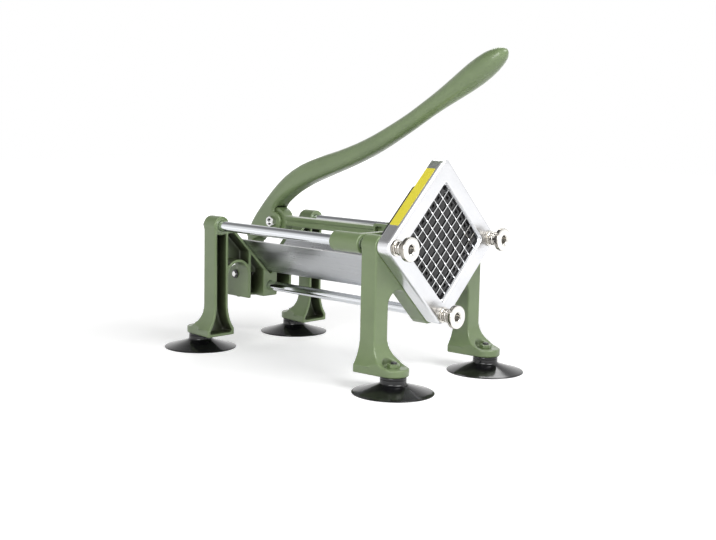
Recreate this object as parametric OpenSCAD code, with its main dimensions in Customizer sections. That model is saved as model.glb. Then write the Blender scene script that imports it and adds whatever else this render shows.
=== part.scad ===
// Hand-lever french fry cutter: a four-legged cage of two castings and three
// rods, a steel trough, a blade cassette held by three knobs, and a pusher
// that a long lever drives along the two side rods.
// +X is the blade end, +Y is left, +Z is up. The middle of the table print
// is the origin.

/* [Stance] */
// Distance from the middle of the cage to a suction cup, front to rear
cup_x = 133.4; // [128:0.2:140]
// Height of the blade centre line over the table
axis_z = 127.6; // [124:0.2:136]
// Distance from the middle of the cage to a casting's outer face
cast_x = 118; // [114:0.5:122]

/* [Suction cups] */
// Diameter of a cup's rim
cup_d = 73.3; // [66:0.1:80]
// Diameter of a cup's neck
cup_neck_d = 23.6; // [20:0.1:25]
// Height of the cone part of a cup
cup_cone_h = 8.6; // [7:0.1:10]
// Height of a cup from the table to the foot
cup_h = 15.3; // [13:0.1:17]
// Thickness of a cup's lip
cup_lip = 0.8; // [0.6:0.1:1.2]
// Depth of the hollow under a cup
cup_dish = 3.4; // [2:0.1:3.8]
// Diameter of the stud in a cup
stud_d = 6; // [5:0.1:7]
// Width of the stud's nut across its flats
stud_nut_w = 10; // [9:0.1:12]
// Height of the stud's nut
stud_nut_h = 3.5; // [3:0.1:6]

/* [Castings] */
// Depth of a casting along the rods
cast_d = 18; // [16:0.5:20]
// Thickness of a casting's closed face
skin = 4; // [3:0.1:5]
// Thickness of a casting's side walls
wall = 3; // [2:0.1:3.4]
// Width of a leg
leg_w = 17.4; // [16:0.1:19]
// Radius of the round head of a leg
boss_r = 9.6; // [9:0.1:10.5]
// Width of a foot at its back edge
foot_w = 34; // [30:0.5:38]
// Thickness of a foot's plate
foot_t = 7; // [6:0.1:8]
// Radius of a foot's nose
nose_r = 13.8; // [12.5:0.1:15]
// Radius of the sweep from a leg's face to the nose
sweep_r = 22; // [19:0.5:25]
// Radius of the sweep on a leg's two sides
flare_r = 42; // [38:0.5:46]
// Height over the foot where the side sweep starts
flare_z = 31.7; // [28:0.1:35]
// Diameter of the recess for a stud's nut
nut_well_d = 20; // [18:0.5:22]
// Radius of the arch beside a leg
arch_r = 13.65; // [12:0.05:14]
// Height of the rear arch's centre under the blade centre line
arch_drop = 52.5; // [50:0.1:54]
// Height of the front casting's flat top under the blade centre line
top_drop = 9.4; // [8.5:0.1:11]
// Height of the rear casting's flat top under the blade centre line
rear_top_drop = 5.2; // [4.5:0.1:9.4]
// Lip of the front diamond wall around the cassette
ring_lip = 0.5; // [0.3:0.1:1]
// Height of the front diamond's flat foot over its sharp corner
ring_cut = 3.1; // [2:0.1:5]

/* [Rear block] */
// Width of the rear block
block_w = 60; // [56:0.5:60]
// Length of the rear block along the rods
block_d = 34.5; // [31:0.5:36]
// Height of the lower rod over the block's underside
block_under = 11.1; // [9:0.1:13]
// Height of the dome's centre over the lower rod
dome_over = 5.8; // [5:0.1:7]
// Width of the pivot housing inside the block
hub_w = 19; // [18:0.1:24]
// Width of the slot that the lever swings in
slot_w = 13; // [12:0.1:14]

/* [Rods] */
// Diameter of the side rods
rod_d = 10; // [9:0.1:11]
// Diameter of the lower rod
low_rod_d = 9.5; // [8.5:0.1:10.5]
// Diameter of a rod's threaded end
tip_d = 7.6; // [6.5:0.1:8]
// How far a rod reaches into a casting
rod_seat = 15; // [13:0.5:15]
// Width of a rear nut across its flats
rod_nut_w = 13; // [12:0.1:14]
// Height of a rear nut
rod_nut_h = 6.5; // [5:0.1:8]

/* [Trough] */
// Step from the blade opening in to the trough's faces
v_step = 1; // [0.7:0.1:1.5]
// Thickness of the trough's sheet
v_t = 1; // [0.8:0.1:1.2]
// Inner radius of the trough's bend
v_bend_r = 5; // [4:0.1:6]
// Height of the trough from its sharp corner to its rims
v_h = 39; // [36:0.5:41]
// Distance from the rear casting's face to the trough's rear end
v_back = 8; // [7.8:0.1:9]

/* [Blade cassette] */
// Distance from a rod's axis to the cassette's sharp corner
rod_in = 12.489; // [12:0.001:13]
// Width of the cassette's rim around the opening
cas_rim = 17.4; // [16.4:0.1:18.4]
// Thickness of the front frame
cas_front_t = 7; // [6.8:0.1:9]
// Thickness of the rear frame
cas_back_t = 8; // [6:0.1:9]
// Corner radius of the cassette
cas_r = 9; // [7:0.5:11]
// Rounding of the front edge
cas_edge = 3; // [1:0.1:4]
// Number of cells along a side
cells = 8; // [6:1:9]
// Distance between neighbouring blades
pitch = 9.525; // [9:0.005:9.6]
// Bevel of the opening
bevel = 1.4; // [0.8:0.1:2]
// Corner radius of the opening
open_r = 4; // [3:0.1:5]
// Thickness of a blade
blade_t = 1; // [0.6:0.1:1.2]
// Depth of a blade along the rods
blade_d = 4; // [3:0.1:4]
// Length of a blade's end that sits in the frame
blade_end = 2.5; // [1.5:0.1:3]

/* [Pusher] */
// Gap between the pusher and the trough
push_gap = 0.8; // [0.7:0.1:1.1]
// Corner radius of the pusher
push_r = 5.5; // [5:0.1:7]
// Thickness of the pusher's base
push_base = 6; // [5:0.1:7]
// Length of a pusher pin
pin_len = 20; // [17:0.1:22]
// Gap around a pin in its cell
pin_gap = 0.4; // [0.2:0.05:0.6]
// Width of the recess in a pin's end
pin_hole = 3.6; // [3:0.1:4.5]
// Distance from the pins' ends to the blades
pin_back = 1; // [0.6:0.1:2]

/* [Carriage] */
// Outer diameter of a sleeve
sleeve_d = 18.2; // [16.5:0.1:18.6]
// Length of a sleeve
sleeve_l = 35; // [32:0.5:42]
// Thickness of the carriage's head
head_t = 7; // [6:0.1:8]
// Half width of the head over the blade centre line
head_half = 28; // [26:0.5:30]
// Thickness of a lug of the carriage
lug_t = 4.5; // [4:0.1:5]
// Distance from the head's rear face to the link's front pin
lug_x = 26; // [24:0.5:28]
// Rise of the lug's slot over the front pin
slot_up = 13.2; // [13.1:0.1:14]
// Drop of the lug's slot under the front pin
slot_down = 0.8; // [0.5:0.1:2]
// Room in the lug's slot behind the front pin
slot_back = 2.2; // [2.1:0.1:3]
// Room in the lug's slot before the front pin
slot_front = 1; // [0.9:0.1:2]

/* [Link] */
// Width of the link
link_w = 12; // [11:0.1:12.4]
// Radius of the link's rear eye
eye_r = 14.6; // [13:0.1:15.2]
// Radius of the link's front end
link_end_r = 7.5; // [6.5:0.1:8]
// Height of the link's beam
beam_h = 9.6; // [9:0.1:11]
// Depth of the groove along the beam
groove = 1; // [0.5:0.1:1.5]
// Diameter of the bolt in the rear eye
bolt_d = 6; // [5:0.1:7]
// Width of the bolt's nut across its flats
bolt_nut_w = 10; // [9:0.1:11]
// Height of the bolt's nut
bolt_nut_h = 5; // [4:0.1:6]
// Diameter of the front pin
front_pin_d = 6; // [5:0.1:7]
// Drop of the front pin under the blade centre line
front_pin_drop = 7.1; // [6.8:0.1:7.4]

/* [Lever] */
// Distance from the pivot to the grip's end along the cage
reach = 316; // [300:1:330]
// Height from the pivot to the grip's end
rise = 224; // [212:1:236]
// Thickness of the lever's arm in its heaviest part
arm_t = 22; // [20:0.1:23]
// Width of the lever's arm
arm_w = 20.8; // [20:0.1:22]
// Thickness of the lever's tongue
tongue_w = 10; // [9:0.1:11]
// Radius of the lever's lower eye
tongue_r = 8; // [7.5:0.1:8.2]
// Diameter of the pivot pin
pivot_d = 6; // [5:0.1:8]
// Diameter of the pivot pin's head
pivot_head_d = 9; // [8:0.1:9]
// Thickness of the pivot pin's head
pivot_head_t = 2.5; // [1.5:0.1:3.5]
// Thickness of the clip on the pivot pin
pivot_clip_t = 1.2; // [1:0.1:2]
// Distance from the rear casting's face back to the pivot
pivot_back = 3; // [2:0.1:4]
// Height of the pivot over the lower rod
pivot_over = 12.4; // [12:0.1:12.8]
// Distance from the pivot forward to the link's bolt
hitch_x = 34.5; // [33:0.1:36]
// Height of the link's bolt over the pivot
hitch_z = 56.4; // [55:0.1:58]
// Radius of the cheeks round the bolt
cheek_r = 13.4; // [12:0.1:14]
// Width over the two cheeks
cheek_w = 20; // [19:0.1:20.4]

/* [Knobs] */
// Diameter of a knob's disc
knob_d = 21.7; // [19:0.1:24]
// Thickness of a knob's disc
knob_t = 4.6; // [3.5:0.1:6]
// Length of a knob
knob_l = 18; // [16:0.5:20]
// Diameter of a knob's stem
stem_d = 13; // [11.5:0.1:14]
// Chamfer of a knob's bore
knob_chamfer = 0.5; // [0.3:0.1:0.8]

/* [Fits] */
// Running clearance of a pin or a rod in its bore
fit = 0.05; // [0.03:0.01:0.08]
// Side clearance of the link and the lever in their forks
side_fit = 0.4; // [0.3:0.05:0.5]

/* [Hidden] */
over = 1;                                   // overrun of a cut past its face
fn_round = 96;
fn_small = 48;
// Main planes and places
open_half = cells * pitch / 2;              // half width of the blade opening
cas_w = cells * pitch + 2 * cas_rim;        // width of the cassette's square
rod_off = cas_w / sqrt(2) - rod_in;         // from the blade centre line to each rod
low_z = axis_z - rod_off;                   // height of the lower rod
cast_in = cast_x - cast_d;                  // a casting's open side
top_z = axis_z - top_drop;                  // flat top of the front casting
rear_top_z = axis_z - rear_top_drop;        // flat top of the rear casting
foot_z = cup_h;                             // underside of a foot
flare_top = foot_z + flare_z;
v_half = open_half - v_step;                // the trough's inner faces
v_out = v_half + v_t;                       // its outer faces
ring_half = cas_w / 2 + ring_lip;           // the front diamond wall's outer faces
push_half = v_half - push_gap;              // half width of the pusher
v_top = axis_z - v_out * sqrt(2) + v_h;     // rims of the trough
cas_x0 = cast_x;                            // the cassette's rear face
cas_x1 = cas_x0 + cas_back_t;               // its parting plane
cas_x2 = cas_x1 + cas_front_t;              // its front face
pin_x1 = cas_x1 - blade_d - pin_back;       // pin ends, lever down
pin_x0 = pin_x1 - pin_len;
head_x1 = pin_x0 - push_base;
head_x0 = head_x1 - head_t;
sleeve_x1 = head_x1;
sleeve_x0 = sleeve_x1 - sleeve_l;
front_pin_x = head_x0 - lug_x;
pivot_x = -cast_x - pivot_back;
pivot_z = low_z + pivot_over;
hitch = [pivot_x + hitch_x, pivot_z + hitch_z];
front_pin_z = axis_z - front_pin_drop;
block_x0 = -cast_in - block_d;              // rear face of the block
block_z = low_z - block_under;
dome_r = block_d / 2;
dome_z = low_z + dome_over;
grip_x = pivot_x + reach;                   // the grip's end
// The print runs from the rear cups' rims to the grip's end
mid_x = (grip_x - cup_x - cup_d / 2) / 2;

// Flat outlines drawn as seen from the front, carried along the rods
module along_x(x0, x1) {
    translate([x0, 0, 0]) rotate([90, 0, 90]) linear_extrude(x1 - x0) children();
}
// Flat outlines drawn as seen from the right side, carried across the cage
module along_y(y0, y1) {
    translate([0, y1, 0]) rotate([90, 0, 0]) linear_extrude(y1 - y0) children();
}
module pair_y() {
    children();
    mirror([0, 1, 0]) children();
}
module pair_x2d() {
    children();
    mirror([1, 0]) children();
}
module rod_x(x0, x1, y, z, r, fn = fn_small) {
    translate([x0, y, z]) rotate([0, 90, 0]) cylinder(r = r, h = x1 - x0, $fn = fn);
}
module rod_y(y0, y1, x, z, r, fn = fn_small) {
    translate([x, y0, z]) rotate([-90, 0, 0]) cylinder(r = r, h = y1 - y0, $fn = fn);
}
// A square on its corner about the blade centre line, corners rounded
module diamond(h, r) {
    translate([0, axis_z]) rotate(45) {
        square([2 * h, 2 * (h - r)], center = true);
        square([2 * (h - r), 2 * h], center = true);
        for (i = [-1, 1], j = [-1, 1]) translate([i * (h - r), j * (h - r)])
            circle(r, $fn = fn_small);
    }
}
module diamond_sharp(h) {
    translate([0, axis_z]) rotate(45) square(2 * h, center = true);
}
// A leg's outline with its flared foot, each wall w in from the outside
module leg_outline(w, base) {
    hw = leg_w / 2 - w;
    translate([rod_off, 0]) {
        translate([-hw, base]) square([2 * hw, axis_z - base]);
        difference() {
            translate([-foot_w / 2 + w, base])
                square([foot_w - 2 * w, flare_top - base]);
            for (s = [-1, 1]) translate([s * (leg_w / 2 + flare_r), flare_top])
                circle(flare_r + w, $fn = 2 * fn_round);
        }
        translate([0, axis_z]) circle(boss_r - w, $fn = fn_round);
    }
}
// The dark channel in a leg's open side
module leg_channel() {
    difference() {
        leg_outline(wall, foot_z + wall);
        translate([rod_off, axis_z]) circle(boss_r, $fn = fn_round);
    }
}
// One foot: side profile, front profile and plan meet
module foot(sx) {
    nose = cup_x + nose_r;
    back = [cast_in, foot_w / 2];
    d = [cup_x - back.x, back.y];
    a = 180 - atan2(d.y, d.x) - acos(nose_r / norm(d));
    mirror([sx > 0 ? 0 : 1, 0, 0]) difference() {
        intersection() {
            along_y(rod_off - foot_w, rod_off + foot_w) difference() {
                translate([cast_in, foot_z]) square([nose - cast_in, foot_t + sweep_r]);
                translate([cast_x + sweep_r, foot_z + foot_t + sweep_r])
                    circle(sweep_r, $fn = fn_round);
                translate([cast_x + sweep_r, foot_z + foot_t])
                    square([nose, foot_t + sweep_r]);
            }
            along_x(cast_in, nose) leg_outline(0, foot_z);
            translate([0, rod_off, foot_z]) linear_extrude(foot_t + sweep_r + over) {
                polygon([[cast_in, -back.y], back,
                    [cup_x + nose_r * cos(a), nose_r * sin(a)],
                    [cup_x + nose_r * cos(a), -nose_r * sin(a)]]);
                translate([cup_x, 0]) circle(nose_r, $fn = fn_small);
            }
        }
        translate([cup_x, rod_off, foot_z + foot_t])
            cylinder(d = nut_well_d, h = sweep_r + over, $fn = fn_small);
        translate([cup_x, rod_off, foot_z - over])
            cylinder(d = stud_d, h = foot_t + 2 * over, $fn = fn_small);
        along_x(cast_in - over, cast_x - skin) leg_channel();
    }
}
// The two legs of one casting, hollow on the side that faces the cage
module legs(sx) {
    pair_y() {
        foot(sx);
        mirror([sx > 0 ? 0 : 1, 0, 0]) difference() {
            along_x(cast_in, cast_x) intersection() {
                leg_outline(0, foot_z);
                translate([rod_off - foot_w / 2, foot_z + foot_t])
                    square([foot_w, axis_z]);
            }
            along_x(cast_in - over, cast_x - skin) leg_channel();
        }
    }
}
arch_y = rod_off - leg_w / 2 - arch_r;      // centre of the front arches
// Height of the front arch's centre, touching leg and diamond wall
front_arch_z = axis_z - ring_half * sqrt(2) + rod_off - leg_w / 2 - arch_r * (1 + sqrt(2));
rear_arch_z = axis_z - arch_drop;
rear_arch_r = (rod_off - leg_w / 2 - block_w / 2) / 2; // from leg to block
rear_arch_y = rod_off - leg_w / 2 - rear_arch_r;
arch_bite = 0.2;                            // arches cut past what they touch, for a clean crossing
ring_foot_z = axis_z - ring_half * sqrt(2) + ring_cut;
// Front diamond wall and the web to the legs, w in from the outside
module front_outline(w) {
    inner = rod_off - leg_w / 2;
    intersection() {
        difference() {
            diamond_sharp(ring_half - w);
            diamond_sharp(v_out + w);
        }
        translate([-inner - (w > 0 ? 0 : leg_w / 2), ring_foot_z + w])
            square([2 * inner + (w > 0 ? 0 : leg_w), top_z - ring_foot_z - 2 * w]);
    }
    pair_x2d() difference() {
        polygon([[arch_y, front_arch_z],
            [arch_y - arch_r / sqrt(2) - w, front_arch_z + arch_r / sqrt(2) + w],
            [inner, axis_z - ring_half * sqrt(2) + inner + 2 * w], [inner, front_arch_z]]);
        translate([arch_y, front_arch_z]) circle(arch_r + arch_bite + w, $fn = fn_round);
    }
}
module front_casting() {
    color("#7c9068") translate([-mid_x, 0, 0]) difference() {
        union() {
            legs(1);
            difference() {
                along_x(cast_in, cast_x) front_outline(0);
                along_x(cast_in - over, cast_x - skin) front_outline(wall);
                pair_y() along_x(cast_in - over, cast_x - skin) leg_channel();
            }
            rod_x(cast_in, cast_x, 0, low_z, boss_r, fn_round);
            pair_y() rod_x(cast_in, cast_x, rod_off, axis_z, boss_r, fn_round);
        }
        along_x(cast_in - over, cast_x + over) diamond_sharp(v_out);
        rod_x(cast_in - over, cast_x + over, 0, low_z, tip_d / 2);
        rod_x(cast_in - over, cast_in + rod_seat / 2, 0, low_z, low_rod_d / 2);
        pair_y() {
            rod_x(cast_in - over, cast_x + over, rod_off, axis_z, tip_d / 2);
            rod_x(cast_in - over, cast_in + rod_seat / 2, rod_off, axis_z, rod_d / 2);
        }
    }
}
// Rear plate between the legs, with its arches and the trough's seat
module rear_outline(w) {
    inner = rod_off - leg_w / 2;
    reach_y = inner + (w > 0 ? 0 : leg_w / 2);
    difference() {
        translate([-reach_y, rear_arch_z]) square([2 * reach_y, rear_top_z - w - rear_arch_z]);
        pair_x2d() translate([rear_arch_y, rear_arch_z])
            circle(rear_arch_r + arch_bite + w, $fn = fn_round);
        diamond_sharp(v_out + w);
        if (w > 0) translate([-block_w / 2, 0]) square([block_w, axis_z]);
    }
}
module block_side(w) {
    translate([block_x0 + w, block_z + w])
        square([block_d - w + (w > 0 ? over : 0), dome_z - block_z - w]);
    translate([block_x0 + dome_r, dome_z]) circle(dome_r - w, $fn = fn_round);
    if (w > 0) translate([block_x0 + dome_r, dome_z - dome_r])
        square([dome_r + over, 2 * dome_r - w]);
}
module rear_casting() {
    slot_z = pivot_z - tongue_r - slot_floor;
    color("#7c9068") translate([-mid_x, 0, 0]) difference() {
        union() {
            legs(-1);
            difference() {
                along_x(-cast_x, -cast_in) rear_outline(0);
                along_x(-cast_x + skin, -cast_in + over) rear_outline(wall);
                pair_y() along_x(-cast_x + skin, -cast_in + over) leg_channel();
            }
            difference() {
                union() {
                    along_y(-block_w / 2, block_w / 2) block_side(0);
                    along_x(-cast_x, -cast_in) translate([-block_w / 2, block_z])
                        square([block_w, rear_arch_z - block_z + rear_arch_r]);
                }
                pair_y() difference() {
                    along_y(hub_w / 2, block_w / 2 - wall) block_side(wall);
                    along_x(block_x0, -cast_in + 2 * over) diamond_sharp(v_out + wall);
                }
            }
            pair_y() rod_x(-cast_x, -cast_in, rod_off, axis_z, boss_r, fn_round);
        }
        pair_y() along_x(-cast_x + skin, -cast_in + over) difference() {
            translate([hub_w / 2, block_z + wall])
                square([block_w / 2 - wall - hub_w / 2, rear_top_z - block_z]);
            diamond_sharp(v_out + wall);
        }
        along_x(-cast_x - over, -cast_in + over) diamond_sharp(v_out);
        translate([block_x0 - over, -slot_w / 2, slot_z])
            cube([cast_in + block_d - cast_x + v_back - over, slot_w, axis_z]);
        rod_y(-block_w / 2 - over, block_w / 2 + over, pivot_x, pivot_z, pivot_d / 2);
        rod_x(-cast_in - rod_seat + low_short, -cast_in + over, 0, low_z, low_rod_d / 2);
        pair_y() {
            rod_x(-cast_x - over, -cast_in, rod_off, axis_z, tip_d / 2);
            rod_x(-cast_in - rod_seat, -cast_in + over, rod_off, axis_z, rod_d / 2);
        }
    }
}
slot_floor = 2.5;                           // room under the lever's eye
low_short = 5;                              // the lower rod stops before the slot
// Rods: chromed shank with threaded ends
module side_rod(y) {
    color("#d7dade") translate([-mid_x, 0, 0]) {
        rod_x(-cast_in - rod_seat, cast_in + rod_seat / 2, y, axis_z, rod_d / 2);
        rod_x(-cast_x - rod_nut_h - thread_out, -cast_in - rod_seat, y, axis_z, tip_d / 2);
        rod_x(cast_in + rod_seat / 2, cas_x2 + knob_l - knob_dish, y, axis_z, tip_d / 2);
    }
}
thread_out = 1.5;                           // thread that shows past a nut
knob_dish = 2;                              // how deep a rod's end lies in its knob
module side_rod_left() { side_rod(rod_off); }
module side_rod_right() { side_rod(-rod_off); }
module lower_rod() {
    color("#d7dade") translate([-mid_x, 0, 0]) {
        rod_x(-cast_in - rod_seat + low_short, cast_in + rod_seat / 2, 0, low_z, low_rod_d / 2);
        rod_x(cast_in + rod_seat / 2, cas_x2 + knob_l - knob_dish, 0, low_z, tip_d / 2);
    }
}
module hex_x(x0, h, y, z, w, hole) {
    translate([x0, y, z]) rotate([0, 90, 0]) difference() {
        rotate(30) cylinder(d = w / cos(30), h = h, $fn = 6);
        translate([0, 0, -over]) cylinder(d = hole, h = h + 2 * over, $fn = fn_small);
    }
}
module rod_nuts() {
    color("#c3c6c9") translate([-mid_x, 0, 0]) pair_y()
        hex_x(-cast_x - rod_nut_h, rod_nut_h, rod_off, axis_z, rod_nut_w, tip_d);
}
// Folded sheet trough that the potato lies in
module v_trough() {
    color("#b9bcc0") translate([-mid_x, 0, 0])
        along_x(-cast_x + v_back, cast_x) difference() {
            diamond(v_out, v_bend_r + v_t);
            diamond(v_half, v_bend_r);
            translate([-rod_off, v_top]) square([2 * rod_off, rod_off + axis_z]);
        }
}
// Three holes of the cassette, at the ends of the rods
module cassette_holes() {
    for (p = [[rod_off, axis_z], [-rod_off, axis_z], [0, low_z]])
        rod_x(cas_x0 - over, cas_x2 + over, p.x, p.y, tip_d / 2);
}
blade_len = 2 * (open_half + blade_end);
// One set of blades in a plane, turned by a
module blade_set(x0, a, t) {
    translate([x0, 0, axis_z]) rotate([a, 0, 0]) for (i = [1 : cells - 1])
        translate([0, -blade_len / 2, -open_half + i * pitch - t / 2])
            cube([blade_d, blade_len, t]);
}
// Rings of a rounded square on its corner, for the rounded front edge
corner_n = 6;
function square_ring(x, h, r) = [for (q = [0 : 3], k = [0 : corner_n - 1])
    let (a = 90 * (q + k / (corner_n - 1)), c = 45 + 90 * q,
        u = (h - r) * sqrt(2) * cos(c) + r * cos(a), v = (h - r) * sqrt(2) * sin(c) + r * sin(a))
    [x, (u - v) / sqrt(2), axis_z + (u + v) / sqrt(2)]];
// Faces of a stack of m rings of n points each
function stack_faces(m, n) = concat([[for (k = [0 : n - 1]) k]],
    [[for (k = [n - 1 : -1 : 0]) (m - 1) * n + k]],
    [for (i = [0 : m - 2], k = [0 : n - 1]) let (k2 = (k + 1) % n, a = i * n + k,
        b = i * n + k2) each [[b, a, a + n], [b, a + n, b + n]]]);
module rounded_plate(x0, x1, h, r, e) {
    rings = concat([square_ring(x0, h, r)], [for (a = [0 : 30 : 90])
        square_ring(x1 - e + e * sin(a), h - e * (1 - cos(a)), r - e * (1 - cos(a)))]);
    polyhedron([for (g = rings) each g], stack_faces(len(rings), 4 * corner_n));
}
module blade_frame_front() {
    color("#d9dbdd") translate([-mid_x, 0, 0]) difference() {
        rounded_plate(cas_x1, cas_x2, cas_w / 2, cas_r, cas_edge);
        along_x(cas_x1 - over, cas_x2 + over) diamond(open_half, open_r);
        intersection() {
            along_x(cas_x2 - 2 * bevel, cas_x2 + over) diamond(open_half + bevel, open_r);
            translate([cas_x2 - 2 * bevel, 0, axis_z]) rotate([0, 90, 0])
                cylinder(r1 = open_half * sqrt(2), r2 = (open_half + 2 * bevel) * sqrt(2),
                    h = 4 * bevel, $fn = 4);
        }
        cassette_holes();
        blade_set(cas_x1, 45, blade_t);
    }
}
module blade_frame_back() {
    color("#c4c7ca") translate([-mid_x, 0, 0]) difference() {
        along_x(cas_x0, cas_x1) difference() {
            diamond(cas_w / 2, cas_r);
            diamond(open_half, open_r);
        }
        cassette_holes();
        blade_set(cas_x1 - blade_d, -45, blade_t);
    }
}
module blades_front() {
    color("#e6e7e8") translate([-mid_x, 0, 0]) blade_set(cas_x1, 45, blade_t);
}
module blades_back() {
    color("#e6e7e8") translate([-mid_x, 0, 0]) blade_set(cas_x1 - blade_d, -45, blade_t);
}
// Rubber cup with a dished underside, moulded on its stud
module suction_cup(x, y) {
    color("#1d1d1f") translate([x - mid_x, y, 0]) difference() {
        rotate_extrude($fn = fn_round) polygon([[0, cup_dish], [cup_d / 5, cup_dish],
            [cup_d / 2 - 2 * cup_lip, 0], [cup_d / 2, 0], [cup_d / 2, cup_lip],
            [cup_neck_d / 2 + cup_lip, cup_cone_h - cup_lip], [cup_neck_d / 2, cup_cone_h],
            [cup_neck_d / 2, cup_h], [0, cup_h]]);
        translate([0, 0, cup_cone_h]) cylinder(d = stud_d, h = cup_h, $fn = fn_small);
    }
}
module suction_cup_front_left() { suction_cup(cup_x, rod_off); }
module suction_cup_front_right() { suction_cup(cup_x, -rod_off); }
module suction_cup_rear_left() { suction_cup(-cup_x, rod_off); }
module suction_cup_rear_right() { suction_cup(-cup_x, -rod_off); }
module at_cups() {
    for (x = [-cup_x, cup_x], y = [-rod_off, rod_off]) translate([x - mid_x, y, 0])
        children();
}
module cup_studs() {
    color("#c3c6c9") at_cups() translate([0, 0, cup_cone_h])
        cylinder(d = stud_d, h = foot_z + foot_t + stud_nut_h + thread_out - cup_cone_h,
            $fn = fn_small);
}
module cup_nuts() {
    color("#c3c6c9") at_cups() translate([0, 0, foot_z + foot_t]) difference() {
        cylinder(d = stud_nut_w / cos(30), h = stud_nut_h, $fn = 6);
        translate([0, 0, -over]) cylinder(d = stud_d, h = stud_nut_h + 2 * over,
            $fn = fn_small);
    }
}
// Pin that the lever turns on, held in the block's two sides
module pivot_pin() {
    color("#d0d3d6") translate([-mid_x, 0, 0]) {
        rod_y(-block_w / 2 - pivot_clip_t - thread_out, block_w / 2, pivot_x, pivot_z,
            pivot_d / 2);
        rod_y(block_w / 2, block_w / 2 + pivot_head_t, pivot_x, pivot_z, pivot_head_d / 2);
    }
}
module pivot_clip() {
    color("#9a9da0") translate([-mid_x, 0, 0]) difference() {
        rod_y(-block_w / 2 - pivot_clip_t - fit, -block_w / 2 - fit, pivot_x, pivot_z,
            pivot_head_d / 2);
        rod_y(-block_w / 2 - pivot_clip_t - over, -block_w / 2 + over, pivot_x, pivot_z,
            pivot_d / 2);
    }
}
lug_in = link_w / 2 + side_fit;             // inner face of a carriage lug
bar_z0 = axis_z - sleeve_d / 2;             // underside of the cross bar
screw_off = head_half / 2;                  // place of the pusher's screws
screw_d = 4;
// A lug's side: rounded behind, joined to the head in front
module lug_outline() {
    x0 = front_pin_x - front_pin_d / 2 - slot_back - wall;
    z0 = front_pin_z - front_pin_d / 2 - slot_down - wall;
    z1 = front_pin_z + front_pin_d / 2 + slot_up + wall;
    for (z = [z0 + wall, z1 - wall]) translate([x0 + wall, z]) circle(wall, $fn = fn_small);
    translate([x0 + wall, z0]) square([head_x0 - x0 - wall + over, z1 - z0]);
    translate([x0, z0 + wall]) square([wall, z1 - z0 - 2 * wall]);
}
// Sliding casting: two sleeves, a cross bar over the trough, a head and two lugs
module carriage() {
    color("#7c9068") translate([-mid_x, 0, 0]) difference() {
        union() {
            pair_y() rod_x(sleeve_x0, sleeve_x1, rod_off, axis_z, sleeve_d / 2, fn_round);
            along_x(head_x0, head_x1) {
                translate([-rod_off, bar_z0]) square([2 * rod_off, sleeve_d]);
                intersection() {
                    diamond(push_half, push_r);
                    translate([-rod_off, 0]) square([2 * rod_off, axis_z]);
                }
                diamond(head_half, push_r);
            }
            pair_y() along_y(lug_in, lug_in + lug_t) lug_outline();
        }
        pair_y() rod_x(sleeve_x0 - over, sleeve_x1 + over, rod_off, axis_z, rod_d / 2 + fit);
        along_y(-lug_in - lug_t - over, lug_in + lug_t + over)
            translate([front_pin_x - front_pin_d / 2 - slot_back,
                front_pin_z - front_pin_d / 2 - slot_down])
                square([front_pin_d + slot_back + slot_front,
                    front_pin_d + slot_up + slot_down]);
        for (z = [-screw_off, screw_off])
            rod_x(head_x0 - over, head_x1 + over, 0, axis_z + z, screw_d / 2);
    }
}
pin_w = pitch - blade_t - 2 * pin_gap;
screw_skin = 1;                             // base left in front of a screw's end
screw_grip = push_base - screw_skin;
// Black moulding: a base with one square pin for each cell
module pusher_block() {
    color("#1b1b1d") translate([-mid_x, 0, 0]) difference() {
        union() {
            along_x(head_x1, pin_x0) diamond(push_half, push_r);
            intersection() {
                along_x(head_x1, pin_x1) diamond(push_half, push_r);
                translate([0, 0, axis_z]) rotate([45, 0, 0])
                    for (i = [0 : cells - 1], j = [0 : cells - 1])
                        translate([pin_x0 - over, (i + 0.5 - cells / 2) * pitch - pin_w / 2,
                            (j + 0.5 - cells / 2) * pitch - pin_w / 2])
                            cube([pin_len + 2 * over, pin_w, pin_w]);
            }
        }
        translate([0, 0, axis_z]) rotate([45, 0, 0])
            for (i = [0 : cells - 1], j = [0 : cells - 1])
                translate([pin_x1 - pin_hole / 2, (i + 0.5 - cells / 2) * pitch - pin_hole / 2,
                    (j + 0.5 - cells / 2) * pitch - pin_hole / 2])
                    cube([pin_len, pin_hole, pin_hole]);
        for (z = [-screw_off, screw_off])
            rod_x(head_x1 - over, head_x1 + screw_grip, 0, axis_z + z, screw_d / 2);
    }
}
module pusher_screws() {
    color("#b0b3b6") translate([-mid_x, 0, 0]) for (z = [-screw_off, screw_off]) {
        rod_x(head_x0 - screw_d / 2, head_x0, 0, axis_z + z, screw_d);
        rod_x(head_x0, head_x1 + screw_grip, 0, axis_z + z, screw_d / 2);
    }
}
beam_up = 1.1;                              // the beam's middle over the rear eye
// Bar between lever and carriage: round eye at the lever, a drop end in the lugs
module link() {
    beam_z = hitch[1] + beam_up;
    color("#6f8459") translate([-mid_x, 0, 0]) difference() {
        union() {
            rod_y(-link_w / 2, link_w / 2, hitch.x, hitch[1], eye_r, fn_round);
            rod_y(-link_w / 2, link_w / 2, front_pin_x, front_pin_z, link_end_r);
            translate([hitch.x, -link_w / 2, beam_z - beam_h / 2])
                cube([front_pin_x - hitch.x, link_w, beam_h]);
            translate([front_pin_x - link_end_r, -link_w / 2, front_pin_z])
                cube([2 * link_end_r, link_w, beam_z + beam_h / 2 - front_pin_z]);
        }
        for (s = [-1, 1]) translate([hitch.x + eye_r + groove, s * link_w / 2 - groove,
            beam_z - beam_h / 6])
            cube([front_pin_x - hitch.x - eye_r - 3 * groove - link_end_r, 2 * groove,
                beam_h / 3]);
        rod_y(-link_w, link_w, hitch.x, hitch[1], bolt_d / 2 + fit);
        rod_y(-link_w, link_w, front_pin_x, front_pin_z, front_pin_d / 2);
    }
}
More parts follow.
